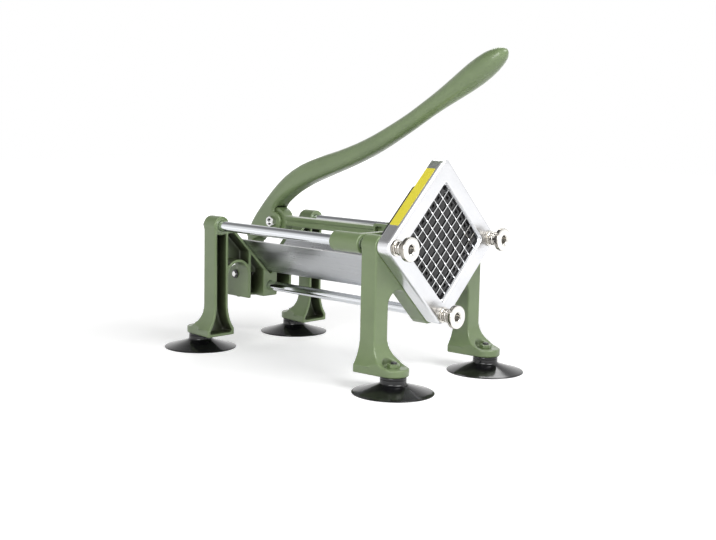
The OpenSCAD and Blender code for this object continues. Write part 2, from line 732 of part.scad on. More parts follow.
module hex_y(y0, h, x, z, w, hole) {
    translate([x, y0, z]) rotate([-90, 0, 0]) difference() {
        cylinder(d = w / cos(30), h = h, $fn = 6);
        if (hole > 0) translate([0, 0, -over])
            cylinder(d = hole, h = h + 2 * over, $fn = fn_small);
    }
}
module link_bolt() {
    color("#d0d3d6") translate([-mid_x, 0, 0]) {
        hex_y(cheek_w / 2, bolt_nut_h, hitch.x, hitch[1], bolt_nut_w, 0);
        rod_y(-cheek_w / 2 - bolt_nut_h - thread_out / 2, cheek_w / 2, hitch.x, hitch[1],
            bolt_d / 2);
    }
}
module link_nut() {
    color("#d8dadc") translate([-mid_x, 0, 0])
        hex_y(-cheek_w / 2 - bolt_nut_h, bolt_nut_h, hitch.x, hitch[1], bolt_nut_w, bolt_d);
}
module link_pin() {
    color("#c3c6c9") translate([-mid_x, 0, 0]) rod_y(-lug_in - lug_t, lug_in + lug_t,
        front_pin_x, front_pin_z, front_pin_d / 2);
}
// Lever's spine: shares of reach and rise, then of arm width and arm thickness
spine_shares = [
    [-0.010, 0.160, 1.00, 0.72], [0.018, 0.229, 1.00, 0.74], [0.059, 0.296, 1.00, 0.77],
    [0.109, 0.364, 1.00, 0.84], [0.166, 0.425, 1.00, 0.94], [0.232, 0.473, 0.99, 1.00],
    [0.307, 0.511, 0.96, 0.97], [0.387, 0.546, 0.92, 0.89], [0.468, 0.586, 0.88, 0.83],
    [0.540, 0.629, 0.85, 0.79], [0.607, 0.676, 0.82, 0.755], [0.671, 0.724, 0.80, 0.73],
    [0.730, 0.773, 0.80, 0.735], [0.787, 0.819, 0.86, 0.80], [0.843, 0.865, 0.97, 0.93],
    [0.898, 0.912, 1.06, 1.03], [0.947, 0.955, 1.00, 0.93], [0.984, 0.986, 0.66, 0.58],
    [0.999, 0.999, 0.12, 0.10]];
spine = [for (s = spine_shares) [pivot_x + s[0] * reach, pivot_z + s[1] * rise,
    s[2] * arm_w / 2, s[3] * arm_t / 2]];
// Smooth curve through the spine's points
function knot(i) = spine[max(0, min(len(spine) - 1, i))];
function smooth(i, t) = let (a = knot(i - 1), b = knot(i), c = knot(i + 1), d = knot(i + 2))
    0.5 * ((2 * b) + (c - a) * t + (2 * a - 5 * b + 4 * c - d) * t * t
    + (3 * b - a - 3 * c + d) * t * t * t);
spine_steps = 2;
spine_fine = [for (i = [0 : len(spine) - 2], k = [0 : spine_steps - 1])
    smooth(i, k / spine_steps), spine[len(spine) - 1]];
n_ring = len(spine_fine);
ring_sides = 24;
function unit(v) = v / norm(v);
function run(i) = let (a = spine_fine[max(0, i - 1)], b = spine_fine[min(n_ring - 1, i + 1)])
    unit([b[0] - a[0], b[1] - a[1]]);
function power(c, p) = sign(c) * pow(abs(c), p);
// Flat underside low down, round section at the grip
function round_share(i) = min(1, max(0, (i / n_ring - 0.25) / 0.35));
function ring(i) = let (s = spine_fine[i], d = run(i), u = round_share(i),
    p_top = 0.82 + 0.18 * u, p_low = 0.42 + 0.58 * u)
    [for (k = [0 : ring_sides - 1]) let (a = 360 * k / ring_sides,
        p = sin(a) >= 0 ? p_top : p_low, y = s[2] * power(cos(a), p),
        h = s[3] * power(sin(a), p)) [s[0] - d[1] * h, y, s[1] + d[0] * h]];
arm_points = [for (i = [0 : n_ring - 1]) each ring(i)];
// Lever: lower eye and tongue, cheeks round the link's bolt, arm and grip in one casting
module lever() {
    gap = link_w / 2 + side_fit;
    low = spine[0];
    mid = spine[3];
    color("#7c9068") translate([-mid_x, 0, 0]) difference() {
        union() {
            difference() {
                union() {
                    polyhedron(arm_points, stack_faces(n_ring, ring_sides), convexity = 6);
                    along_y(-cheek_w / 2, cheek_w / 2) {
                        translate(hitch) circle(cheek_r, $fn = fn_small);
                        polygon([[low[0], low[1]], [low[0] + low[3], low[1]],
                            [hitch.x - cheek_r * cos(60), hitch[1] - cheek_r * sin(60)],
                            [hitch.x - cheek_r * cos(70), hitch[1] + cheek_r * sin(70)],
                            [mid[0], mid[1]]]);
                    }
                }
                rod_y(-gap, gap, hitch.x, hitch[1], eye_r + 2 * side_fit, fn_round);
            }
            along_y(-tongue_w / 2, tongue_w / 2) {
                translate([pivot_x, pivot_z]) circle(tongue_r, $fn = fn_small);
                polygon([[pivot_x - tongue_r, pivot_z], [pivot_x + tongue_r, pivot_z],
                    [low[0] + low[3], low[1]], [low[0] + low[3], low[1] + low[3] / 2],
                    [low[0] - low[3], low[1] + low[3] / 2], [low[0] - low[3], low[1]]]);
            }
        }
        rod_y(-arm_w, arm_w, pivot_x, pivot_z, pivot_d / 2 + fit);
        rod_y(-arm_w, arm_w, hitch.x, hitch[1], bolt_d / 2);
    }
}
// Stem and disc of a knob: shares of the radius and of the length, front to back
stem_shares = [[1.14, 0], [1.14, 0.14], [1, 0.14], [1, 0.21], [0.76, 0.24], [0.76, 0.34],
    [1, 0.37], [1, 0.55], [0.93, 0.58], [0.93, 0.93]];
disc_shares = [[0.68, 0], [0.96, 0], [1, 0.1], [1, 0.8], [0.97, 0.93], [0.91, 1]];
// Turned knob on a rod's threaded end
module knob(y, z) {
    b = tip_d / 2 + fit;
    stem_l = knob_l - knob_t;
    color("#e4e4e2") translate([cas_x2 - mid_x, y, z]) rotate([0, 90, 0])
        rotate_extrude($fn = fn_round) polygon(concat([[b, 0]],
            [for (p = stem_shares) [p[0] * stem_d / 2, p[1] * stem_l]],
            [for (p = disc_shares) [p[0] * knob_d / 2, stem_l + p[1] * knob_t]],
            [[b + knob_chamfer, knob_l], [b, knob_l - knob_chamfer]]));
}
module knob_left() { knob(rod_off, axis_z); }
module knob_right() { knob(-rod_off, axis_z); }
module knob_bottom() { knob(0, low_z); }

front_casting();
rear_casting();
side_rod_left();
side_rod_right();
lower_rod();
rod_nuts();
v_trough();
blade_frame_front();
blade_frame_back();
blades_front();
blades_back();
suction_cup_front_left();
suction_cup_front_right();
suction_cup_rear_left();
suction_cup_rear_right();
cup_studs();
cup_nuts();
pivot_pin();
pivot_clip();
carriage();
pusher_block();
pusher_screws();
link();
link_bolt();
link_nut();
link_pin();
lever();
knob_left();
knob_right();
knob_bottom();
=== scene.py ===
# %% [markdown]
# # A hand-lever potato cutter, dressed for its portrait
# Two painted castings, three chromed rods, a steel trough and a blade
# cassette come in as a fixed frame, each solid already in its place. This
# lesson gives every one of them a finish, softens the edges that a foundry
# or a press leaves round, and sets up a small photo studio around them.
# We begin by loading the frame.

# %% Load the frame
import math

import bpy
from mathutils import Matrix, Vector


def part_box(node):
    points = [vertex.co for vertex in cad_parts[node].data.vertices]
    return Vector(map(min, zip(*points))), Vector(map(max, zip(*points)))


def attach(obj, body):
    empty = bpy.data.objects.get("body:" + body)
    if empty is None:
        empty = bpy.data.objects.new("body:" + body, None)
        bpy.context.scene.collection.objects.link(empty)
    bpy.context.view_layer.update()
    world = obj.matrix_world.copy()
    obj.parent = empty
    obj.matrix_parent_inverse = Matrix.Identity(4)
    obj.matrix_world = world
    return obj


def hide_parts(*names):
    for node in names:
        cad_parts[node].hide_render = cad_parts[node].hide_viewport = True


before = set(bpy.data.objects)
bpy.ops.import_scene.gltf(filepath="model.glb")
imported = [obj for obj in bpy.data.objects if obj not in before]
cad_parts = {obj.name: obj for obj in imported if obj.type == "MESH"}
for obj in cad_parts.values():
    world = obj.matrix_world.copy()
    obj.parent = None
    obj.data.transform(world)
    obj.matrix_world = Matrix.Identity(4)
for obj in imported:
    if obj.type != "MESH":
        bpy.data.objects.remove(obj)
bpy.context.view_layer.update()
MM = 0.001
print("nodes in the frame:", len(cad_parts))

# %% [markdown]
# ## The camera
# A product picture is taken from a little above, with a long enough lens
# that the legs stay upright. The place, the direction of sight and the
# small roll below put each corner of the machine where the picture has it.
# We build the camera's three axes ourselves: right, up and back.

# %% Place the camera
view_from = Vector((0.7725, -0.8027, 0.2406))
sight = Vector((-0.68089, 0.72002, -0.13399)).normalized()
level_right = sight.cross(Vector((0, 0, 1))).normalized()
level_up = level_right.cross(sight)
roll = math.radians(1.2)
cam_right = math.cos(roll) * level_right + math.sin(roll) * level_up
cam_up = math.cos(roll) * level_up - math.sin(roll) * level_right
turn = Matrix((cam_right, cam_up, -sight)).transposed()
bpy.ops.object.camera_add(location=view_from, rotation=turn.to_euler())
camera = bpy.context.object
camera.name = "picture_camera"
camera.data.lens = 57.75
camera.data.sensor_width = 36
camera.data.clip_start = 0.05
camera.data.clip_end = 30
bpy.context.scene.camera = camera
print("camera is", round(view_from.length, 3), "m from the middle")

# %% [markdown]
# ## Tools for the bench
# Blender's operators work on what is selected, so each step first lets go
# of everything and picks one thing. These helpers do that, and give each
# finished piece its body to ride on and the finish it takes.

# %% Selecting and finishing helpers
def only(piece):
    """Selects one piece and nothing else."""
    bpy.ops.object.select_all(action="DESELECT")
    piece.select_set(True)
    bpy.context.view_layer.objects.active = piece


def bake_place():
    """Writes the selected piece's place, turn and size into its mesh."""
    bpy.ops.object.transform_apply(location=True, rotation=True, scale=True)


def edit_all():
    """Edit mode with everything selected."""
    bpy.ops.object.mode_set(mode="EDIT")
    bpy.ops.mesh.select_all(action="SELECT")


def leave_edit():
    """Back to object mode."""
    bpy.ops.object.mode_set(mode="OBJECT")


def settle(piece, smooth):
    """Bakes the place into the mesh and shades it smooth up to an angle."""
    only(piece)
    bake_place()
    bpy.ops.object.shade_smooth_by_angle(angle=math.radians(smooth))


def finish_piece(piece, smooth, name, body, slot, stands_for=(), finish=None):
    """Settles a piece, names it, gives it its slot's finish or the one named, rides it on its
    body and hides the nodes it stands for.
    """
    settle(piece, smooth)
    piece.name = name
    piece.data.name = name
    piece.data.materials.clear()
    piece.data.materials.append(finishes[finish or slot])
    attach(piece, body)
    if stands_for:
        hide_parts(*stands_for)
    print(name, "has", len(piece.data.polygons), "faces")


def apply_all(piece):
    """Turns the effect of every modifier into mesh."""
    only(piece)
    for modifier in list(piece.modifiers):
        bpy.ops.object.modifier_apply(modifier=modifier.name)


def box_of(node):
    low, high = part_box(node)
    return Vector(low), Vector(high)


def middle_of(node):
    low, high = box_of(node)
    return (low + high) / 2


def copy_of(piece):
    twin = bpy.data.objects.new(piece.name, piece.data.copy())
    bpy.context.scene.collection.objects.link(twin)
    return twin


def joined(pieces):
    bpy.ops.object.select_all(action="DESELECT")
    for piece in pieces:
        piece.select_set(True)
    bpy.context.view_layer.objects.active = pieces[0]
    bpy.ops.object.join()
    return pieces[0]


def pick(piece, kind, wanted):
    """Leaves the piece in edit mode with only its wanted points or edges picked."""
    only(piece)
    bpy.ops.object.mode_set(mode="EDIT")
    bpy.ops.mesh.select_mode(type=kind)
    bpy.ops.mesh.select_all(action="DESELECT")
    leave_edit()
    for element in piece.data.vertices if kind == "VERT" else piece.data.edges:
        element.select = wanted(element)
    bpy.ops.object.mode_set(mode="EDIT")


# %% [markdown]
# ## Shared effects
# Real finishes are never one flat colour. Three small node groups hold
# what several finishes share: a coat that wears thin on its edges, the
# long scratches of a brushed sheet, and the fine grain of a casting.

# %% A helper for node groups
def new_group(name, inputs, outputs):
    """An empty node group, its wires, and its input and output nodes."""
    group = bpy.data.node_groups.new(name, "ShaderNodeTree")
    for label, kind, value in inputs:
        socket = group.interface.new_socket(label, in_out="INPUT", socket_type=kind)
        socket.default_value = value
    for label, kind in outputs:
        group.interface.new_socket(label, in_out="OUTPUT", socket_type=kind)
    w = Wires(group)
    return group, w, w.add("NodeGroupInput"), w.add("NodeGroupOutput")


FLOAT, VECTOR = "NodeSocketFloat", "NodeSocketVector"


class Wires:
    """Adds nodes to one tree and joins them, with less typing."""

    def __init__(self, tree):
        self.tree = tree

    def add(self, kind, **settings):
        node = self.tree.nodes.new(kind)
        for key, value in settings.items():
            if key.startswith("in_"):
                node.inputs[key[3:].replace("_", " ")].default_value = value
            else:
                setattr(node, key, value)
        return node

    def join(self, source, target):
        self.tree.links.new(source, target)

    def mapped(self, source, low, high, out_low, out_high):
        node = self.add("ShaderNodeMapRange")
        self.join(source, node.inputs["Value"])
        for key, value in zip(("From Min", "From Max", "To Min", "To Max"),
                              (low, high, out_low, out_high)):
            node.inputs[key].default_value = value
        return node.outputs["Result"]

    def maths(self, operation, a, b):
        node = self.add("ShaderNodeMath", operation=operation)
        for socket, value in zip(node.inputs, (a, b)):
            if isinstance(value, (int, float)):
                socket.default_value = value
            else:
                self.join(value, socket)
        return node.outputs[0]

    def noise(self, vector, scale, detail=3.0, rough=0.5):
        node = self.add("ShaderNodeTexNoise", in_Scale=scale, in_Detail=detail,
                        in_Roughness=rough)
        self.join(vector, node.inputs["Vector"])
        return node.outputs["Fac"]

    def blend(self, fac, a, b):
        node = self.add("ShaderNodeMix", data_type="RGBA")
        self.join(fac, node.inputs[0])
        for socket, value in zip((node.inputs[6], node.inputs[7]), (a, b)):
            if isinstance(value, tuple):
                socket.default_value = value
            else:
                self.join(value, socket)
        return node.outputs[2]


# %% [markdown]
# ### Edge wear
# Paint and polish thin out where a hand or a table rubs: on outer edges.
# Geometry's Pointiness is about a half on flat faces and more on outer
# edges. We stretch the part over a half and break it up with a noise.

# %% Build the edge wear group
edge_wear, w, gin, gout = new_group(
    "edge_wear", [("Start", FLOAT, 0.53), ("End", FLOAT, 0.6), ("Patchiness", FLOAT, 60.0)],
    [("Mask", FLOAT)])
pointed = w.add("ShaderNodeNewGeometry").outputs["Pointiness"]
ramp = w.add("ShaderNodeMapRange")
w.join(pointed, ramp.inputs["Value"])
w.join(gin.outputs["Start"], ramp.inputs["From Min"])
w.join(gin.outputs["End"], ramp.inputs["From Max"])
patches = w.add("ShaderNodeTexNoise", in_Detail=4.0)
w.join(w.add("ShaderNodeTexCoord").outputs["Object"], patches.inputs["Vector"])
w.join(gin.outputs["Patchiness"], patches.inputs["Scale"])
broken = w.mapped(patches.outputs["Fac"], 0.35, 0.62, 0.35, 1.0)
w.join(w.maths("MULTIPLY", ramp.outputs["Result"], broken), gout.inputs["Mask"])
print("edge_wear ready")

# %% [markdown]
# ### Brush lines
# A belt drags its grit along the metal, so the marks are long one way and
# hair-fine the other. A noise does just that when its place is stretched
# first: by a small number along the marks and a large one across them.

# %% Build the brush lines group
brush_lines, w, gin, gout = new_group(
    "brush_lines", [("Stretch", VECTOR, (20.0, 900.0, 900.0)), ("Depth", FLOAT, 0.2)],
    [("Tone", FLOAT), ("Normal", VECTOR)])
squeeze = w.add("ShaderNodeVectorMath", operation="MULTIPLY")
w.join(w.add("ShaderNodeTexCoord").outputs["Object"], squeeze.inputs[0])
w.join(gin.outputs["Stretch"], squeeze.inputs[1])
fine = w.noise(squeeze.outputs[0], 1.0, 4.0, 0.6)
coarse = w.noise(squeeze.outputs[0], 0.27, 2.0, 0.5)
lines = w.maths("ADD", w.maths("MULTIPLY", fine, 0.7), w.maths("MULTIPLY", coarse, 0.3))
w.join(w.mapped(lines, 0.32, 0.68, 0.0, 1.0), gout.inputs["Tone"])
bump = w.add("ShaderNodeBump", in_Distance=0.00005)
w.join(lines, bump.inputs["Height"])
w.join(gin.outputs["Depth"], bump.inputs["Strength"])
w.join(bump.outputs["Normal"], gout.inputs["Normal"])
print("brush_lines ready")

# %% [markdown]
# ### Fine grain
# Cast metal, paint and moulded plastic all have a skin with small humps,
# from a tenth of a millimetre to a few. One noise for the humps and one,
# many times wider, for slow cloudiness is enough.

# %% Build the fine grain group
fine_grain, w, gin, gout = new_group(
    "fine_grain", [("Size", FLOAT, 900.0), ("Depth", FLOAT, 0.15)],
    [("Grain", FLOAT), ("Cloud", FLOAT), ("Normal", VECTOR)])
at = w.add("ShaderNodeTexCoord").outputs["Object"]
humps = w.add("ShaderNodeTexNoise", in_Detail=2.0)
w.join(at, humps.inputs["Vector"])
w.join(gin.outputs["Size"], humps.inputs["Scale"])
w.join(humps.outputs["Fac"], gout.inputs["Grain"])
w.join(w.mapped(w.noise(at, 22.0, 4.0, 0.6), 0.3, 0.7, 0.0, 1.0), gout.inputs["Cloud"])
bump = w.add("ShaderNodeBump", in_Distance=0.0001)
w.join(humps.outputs["Fac"], bump.inputs["Height"])
w.join(gin.outputs["Depth"], bump.inputs["Strength"])
w.join(bump.outputs["Normal"], gout.inputs["Normal"])
print("fine_grain ready")

# %% [markdown]
# ## Finishes
# Every finish starts from the Principled shader. What is the same all over
# is typed straight into its sockets, and only what changes over the
# surface comes in through wires.

# %% A helper for finishes
def new_finish(name, **plain):
    material = bpy.data.materials.new(name)
    material.use_nodes = True
    tree = material.node_tree
    tree.nodes.clear()
    w = Wires(tree)
    shader = w.add("ShaderNodeBsdfPrincipled")
    out = w.add("ShaderNodeOutputMaterial")
    w.join(shader.outputs[0], out.inputs["Surface"])
    for key, value in plain.items():
        shader.inputs[key.replace("_", " ")].default_value = value
    return material, w, shader


def group_in(w, group, **values):
    node = w.add("ShaderNodeGroup", node_tree=group)
    for key, value in values.items():
        node.inputs[key.replace("_", " ")].default_value = value
    return node


# %% [markdown]
# ### Green paint
# Both castings and the lever are sprayed a grey sage green and baked. The
# coat is glossy but a little wavy, it is thinnest and so palest on the
# edges, and the tone drifts a little from place to place. In deep pockets
# the colour is painted shade: it darkens to a near black where shadow
# falls there, and the Ambient Occlusion node, kept to the piece's own
# shape, finds the pockets.

# %% Mix the green paint
green_paint, w, shader = new_finish("green_paint", Coat_Roughness=0.14, Coat_IOR=1.5,
                                    Specular_IOR_Level=0.5)
grain = group_in(w, fine_grain, Size=420.0, Depth=0.30)
wear = group_in(w, edge_wear, Start=0.57, End=0.69, Patchiness=90.0)
sprayed = w.blend(grain.outputs["Cloud"], (0.152, 0.212, 0.094, 1), (0.188, 0.258, 0.116, 1))
# painted shade: the colour darkens to a near black in the pockets that the Ambient Occlusion
# finds
painted_shade_ao = w.add("ShaderNodeAmbientOcclusion", samples=8, only_local=True, in_Distance=0.03)
tone_with_painted_shade = w.blend(w.mapped(painted_shade_ao.outputs["AO"], 0.30, 0.80, 0.0, 1.0),
                    (0.022, 0.026, 0.012, 1), sprayed)
w.join(w.blend(w.maths("MULTIPLY", wear.outputs["Mask"], 0.28), tone_with_painted_shade,
               (0.34, 0.43, 0.27, 1)), shader.inputs["Base Color"])
w.join(w.mapped(grain.outputs["Cloud"], 0, 1, 0.34, 0.44), shader.inputs["Roughness"])
w.join(w.mapped(grain.outputs["Grain"], 0.3, 0.7, 0.45, 0.6), shader.inputs["Coat Weight"])
w.join(grain.outputs["Normal"], shader.inputs["Normal"])
print("green_paint mixed")

# %% [markdown]
# ### Chrome and bright steel
# Ground and plated bars are close to mirrors. What tells them from a
# perfect mirror is a faint turned pattern and a cloudy, breath-like haze.
# The same recipe with a dark colour gives the blackened studs, and the clip, whose dark colour
# is partly painted shade for the shadow it sits in.

# %% Mix the bright metals
IN_THE_LINES = 0.86  # share of the colour that is left in a brush line


def bright_metal(name, colour, rough_low, rough_high, stretch, depth):
    material, w, shader = new_finish(name, Metallic=1.0)
    lines = group_in(w, brush_lines, Stretch=stretch, Depth=depth)
    grain = group_in(w, fine_grain, Size=1500.0, Depth=0.05)
    darker = tuple(IN_THE_LINES * c for c in colour) + (1,)
    w.join(w.blend(lines.outputs["Tone"], darker, colour + (1,)), shader.inputs["Base Color"])
    haze = w.maths("MULTIPLY", grain.outputs["Cloud"], lines.outputs["Tone"])
    w.join(w.mapped(haze, 0, 0.6, rough_low, rough_high), shader.inputs["Roughness"])
    w.join(lines.outputs["Normal"], shader.inputs["Normal"])
    print(name, "mixed")
    return material


rod_chrome = bright_metal("rod_chrome", (0.80, 0.82, 0.85), 0.07, 0.16,
                          (14, 500, 500), 0.05)
fastener_steel = bright_metal("fastener_steel", (0.70, 0.70, 0.70), 0.14, 0.28,
                              (500, 500, 60), 0.12)
dark_steel = bright_metal("dark_steel", (0.10, 0.10, 0.10), 0.30, 0.45,
                          (500, 500, 60), 0.12)

# %% [markdown]
# ### Knob metal
# A knob's end face is faced off and its sides are left as turned. Their
# colours are painted reflections: the end face pale, for the white room it
# mirrors, the sides darker and warmer, for the darker things they mirror.
# The object's own normal tells the two apart: along X it is one on the end
# face and nothing on the sides.

# %% Mix the knob metal
knob_metal, w, shader = new_finish("knob_metal", Metallic=1.0)
lines = group_in(w, brush_lines, Stretch=(900, 90, 90), Depth=0.08)
grain = group_in(w, fine_grain, Size=1500.0, Depth=0.05)
facing = w.add("ShaderNodeSeparateXYZ")
w.join(w.add("ShaderNodeTexCoord").outputs["Normal"], facing.inputs[0])
# painted reflection: the sides darker and warmer, the end face pale, told apart by the normal
sides_painted_dark_reflection = w.blend(lines.outputs["Tone"], (0.26, 0.24, 0.21, 1), (0.46, 0.44, 0.40, 1))
face_painted_bright_reflection = w.blend(grain.outputs["Cloud"], (0.83, 0.81, 0.77, 1), (0.90, 0.885, 0.85, 1))
w.join(w.blend(w.mapped(facing.outputs["X"], 0.35, 0.9, 0.0, 1.0), sides_painted_dark_reflection, face_painted_bright_reflection),
       shader.inputs["Base Color"])
w.join(w.mapped(grain.outputs["Cloud"], 0, 1, 0.09, 0.20), shader.inputs["Roughness"])
w.join(lines.outputs["Normal"], shader.inputs["Normal"])
print("knob_metal mixed")

# %% [markdown]
# ### Brushed sheet and blades
# The trough is bent from stainless sheet with the grain along its length.
# Its sheared rims carry a painted highlight: they are the highest part of
# the sheet, so the Object coordinates' Z finds them, and there the colour
# turns pale and hardly metallic, for the light line the rims catch. The
# blades are ground along the strip.

# %% Mix the brushed steels
trough_steel, w, shader = new_finish("trough_steel")
lines = group_in(w, brush_lines, Stretch=(9, 1100, 1100), Depth=0.5)
grain = group_in(w, fine_grain, Size=1500.0, Depth=0.05)
height = w.add("ShaderNodeSeparateXYZ")
w.join(w.add("ShaderNodeTexCoord").outputs["Object"], height.inputs[0])
trough_low, trough_high = box_of("v_trough")
# painted highlight: a pale, hardly metallic band along the top rims, for the light line they
# catch
rim = w.mapped(height.outputs["Z"], trough_high.z - 1.3 * MM, trough_high.z - 0.7 * MM,
               0.0, 1.0)
sheet_tone = w.blend(lines.outputs["Tone"], (0.50, 0.51, 0.53, 1), (0.60, 0.61, 0.63, 1))
w.join(w.blend(rim, sheet_tone, (0.92, 0.92, 0.93, 1)), shader.inputs["Base Color"])
w.join(w.mapped(rim, 0, 1, 1.0, 0.1), shader.inputs["Metallic"])
haze = w.maths("MULTIPLY", grain.outputs["Cloud"], lines.outputs["Tone"])
w.join(w.mapped(haze, 0, 0.6, 0.24, 0.42), shader.inputs["Roughness"])
w.join(lines.outputs["Normal"], shader.inputs["Normal"])
blade_steel = bright_metal("blade_steel", (0.78, 0.79, 0.80), 0.16, 0.30,
                           (700, 60, 60), 0.2)

# %% [markdown]
# ### Cast aluminium
# The cassette's frames are die cast and tumbled: pale, soft and satin,
# with a fine grain and a slow cloudiness rather than lines.

# %% Mix the aluminium
frame_aluminium, w, shader = new_finish("frame_aluminium", Metallic=1.0)
grain = group_in(w, fine_grain, Size=1300.0, Depth=0.35)
wear = group_in(w, edge_wear, Start=0.52, End=0.6, Patchiness=120.0)
satin = w.blend(grain.outputs["Cloud"], (0.74, 0.75, 0.77, 1), (0.83, 0.83, 0.85, 1))
w.join(w.blend(wear.outputs["Mask"], satin, (0.90, 0.90, 0.91, 1)), shader.inputs["Base Color"])
w.join(w.mapped(grain.outputs["Grain"], 0.25, 0.75, 0.26, 0.40), shader.inputs["Roughness"])
w.join(grain.outputs["Normal"], shader.inputs["Normal"])
print("frame_aluminium mixed")

# %% [markdown]
# ### Rubber and plastic
# The cups are glossy black rubber with edges rubbed a little grey, and the
# pusher is a satin black moulding whose sharper edges are greyer still.

# %% Mix the rubber and the plastic
black_rubber, w, shader = new_finish("black_rubber", Specular_IOR_Level=0.5)
grain = group_in(w, fine_grain, Size=500.0, Depth=0.04)
wear = group_in(w, edge_wear, Start=0.53, End=0.66, Patchiness=70.0)
w.join(w.blend(w.maths("MULTIPLY", wear.outputs["Mask"], 0.5), (0.008, 0.008, 0.009, 1),
               (0.11, 0.11, 0.115, 1)), shader.inputs["Base Color"])
w.join(w.mapped(grain.outputs["Cloud"], 0, 1, 0.09, 0.17), shader.inputs["Roughness"])
w.join(grain.outputs["Normal"], shader.inputs["Normal"])

black_plastic, w, shader = new_finish("black_plastic", Specular_IOR_Level=0.5)
grain = group_in(w, fine_grain, Size=1600.0, Depth=0.25)
wear = group_in(w, edge_wear, Start=0.56, End=0.74, Patchiness=300.0)
moulded = w.blend(grain.outputs["Cloud"], (0.010, 0.010, 0.011, 1), (0.020, 0.020, 0.021, 1))
w.join(w.blend(wear.outputs["Mask"], moulded, (0.22, 0.22, 0.23, 1)),
       shader.inputs["Base Color"])
w.join(w.mapped(grain.outputs["Grain"], 0.3, 0.7, 0.36, 0.52), shader.inputs["Roughness"])
w.join(grain.outputs["Normal"], shader.inputs["Normal"])
print("black_rubber and black_plastic mixed")

# %% [markdown]
# ### Yellow film
# The strip on the cassette is printed film, left plain here: a warm yellow
# under a thin clear coat, a little paler in patches.

# %% Mix the yellow film
strip_film, w, shader = new_finish("strip_film", Coat_Weight=0.35, Coat_Roughness=0.25)
grain = group_in(w, fine_grain, Size=700.0, Depth=0.10)
w.join(w.blend(grain.outputs["Cloud"], (0.78, 0.68, 0.040, 1), (0.86, 0.76, 0.070, 1)),
       shader.inputs["Base Color"])
w.join(w.mapped(grain.outputs["Grain"], 0.3, 0.7, 0.38, 0.5), shader.inputs["Roughness"])
w.join(grain.outputs["Normal"], shader.inputs["Normal"])
print("strip_film mixed")

# %% [markdown]
# ### Who wears what
# Every node of the frame gets its finish, also those that a dressed piece
# stands for later on, so that the bare frame looks right by itself.

# %% Give every node its finish
finishes = {"strip_film": strip_film, "green_paint": green_paint, "rod_chrome": rod_chrome,
            "fastener_steel": fastener_steel, "trough_steel": trough_steel,
            "frame_aluminium": frame_aluminium, "blade_steel": blade_steel,
            "black_rubber": black_rubber, "black_plastic": black_plastic,
            "knob_metal": knob_metal, "dark_steel": dark_steel}
CORNERS = ("front_left", "front_right", "rear_left", "rear_right")
nodes_of = {
    "green_paint": ("front_casting", "rear_casting", "lever", "link", "carriage"),
    "rod_chrome": ("side_rod_left", "side_rod_right", "lower_rod"),
    "fastener_steel": ("rod_nuts", "cup_studs", "cup_nuts", "pivot_pin", "pivot_clip",
                       "pusher_screws", "link_bolt", "link_nut", "link_pin"),
    "trough_steel": ("v_trough",),
    "frame_aluminium": ("blade_frame_front", "blade_frame_back"),
    "blade_steel": ("blades_front", "blades_back"),
    "black_rubber": ["suction_cup_" + corner for corner in CORNERS],
    "black_plastic": ("pusher_block",),
    "knob_metal": ("knob_left", "knob_right", "knob_bottom")}
for finish, names in nodes_of.items():
    for name in names:
        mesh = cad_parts[name].data
        mesh.materials.clear()
        mesh.materials.append(finishes[finish])
print("nodes with a finish:", sum(map(len, nodes_of.values())))

# %% [markdown]
# ## Softened castings
# A casting has no sharp edge: sand, spray and paint round every one by a
# millimetre or so, inside corners too, and that rounding is what catches
# the light. A Bevel modifier stumbles where many small faces meet, so we
# do what a foundry's shrink wrap would: merge a copy of the node, lay a
# fine voxel skin over it, relax that skin, and thin its mesh out.

# %% A merged copy of nodes, and a soft skin over it
def merged_copy(nodes, name, lap=0.0):
    """One mesh from one node or more; lap pushes each after the first into it."""
    parts = []
    for count, node in enumerate(nodes):
        part = bpy.data.objects.new(name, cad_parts[node].data.copy())
        bpy.context.scene.collection.objects.link(part)
        part.location.x = lap * count
        parts.append(part)
    piece = joined(parts)
    bake_place()
    edit_all()
    bpy.ops.mesh.remove_doubles(threshold=0.000001)
    bpy.ops.mesh.customdata_custom_splitnormals_clear()
    leave_edit()
    return piece


def softened(piece, nodes, body, slot, skin, relax, thin=0.5):
    """Wraps a piece in a skin of that voxel size, relaxes and thins the skin."""
    wrap = piece.modifiers.new("skin", "REMESH")
    wrap.mode, wrap.voxel_size = "VOXEL", skin
    ease = piece.modifiers.new("relax", "SMOOTH")
    ease.factor, ease.iterations = 0.5, relax
    fewer = piece.modifiers.new("thin", "DECIMATE")
    fewer.ratio = thin
    apply_all(piece)
    finish_piece(piece, 60, piece.name, body, slot, nodes)


# %% Soften the painted castings
for node, body, skin, relax in (
        ("front_casting", "cage", 0.75, 6), ("rear_casting", "cage", 0.75, 6),
        ("link", "link", 0.6, 6), ("carriage", "carriage", 0.7, 5)):
    softened(merged_copy([node], node + "_soft"), [node], body, "green_paint", skin * MM,
             relax)

# %% Slim the lever's cheeks round the bolt, then soften the lever
lever = merged_copy(["lever"], "lever_soft")
hitch = middle_of("link_bolt")
CHEEK_R = 13.4       # radius of the cheeks in the frame
SLIM_CHEEK_R = 10.4  # and in the picture
RIM_REACH = 0.25     # how far from that radius a point still belongs to the rim
slim = SLIM_CHEEK_R / CHEEK_R
pick(lever, "VERT", lambda v: abs(math.hypot(v.co.x - hitch.x, v.co.z - hitch.z) / MM
                                  - CHEEK_R) < RIM_REACH)
bpy.ops.transform.resize(value=(slim, 1, slim), center_override=hitch)
leave_edit()
print("points on the cheeks' rims:", sum(v.select for v in lever.data.vertices))
softened(lever, ["lever"], "lever", "green_paint", 0.8 * MM, 18)

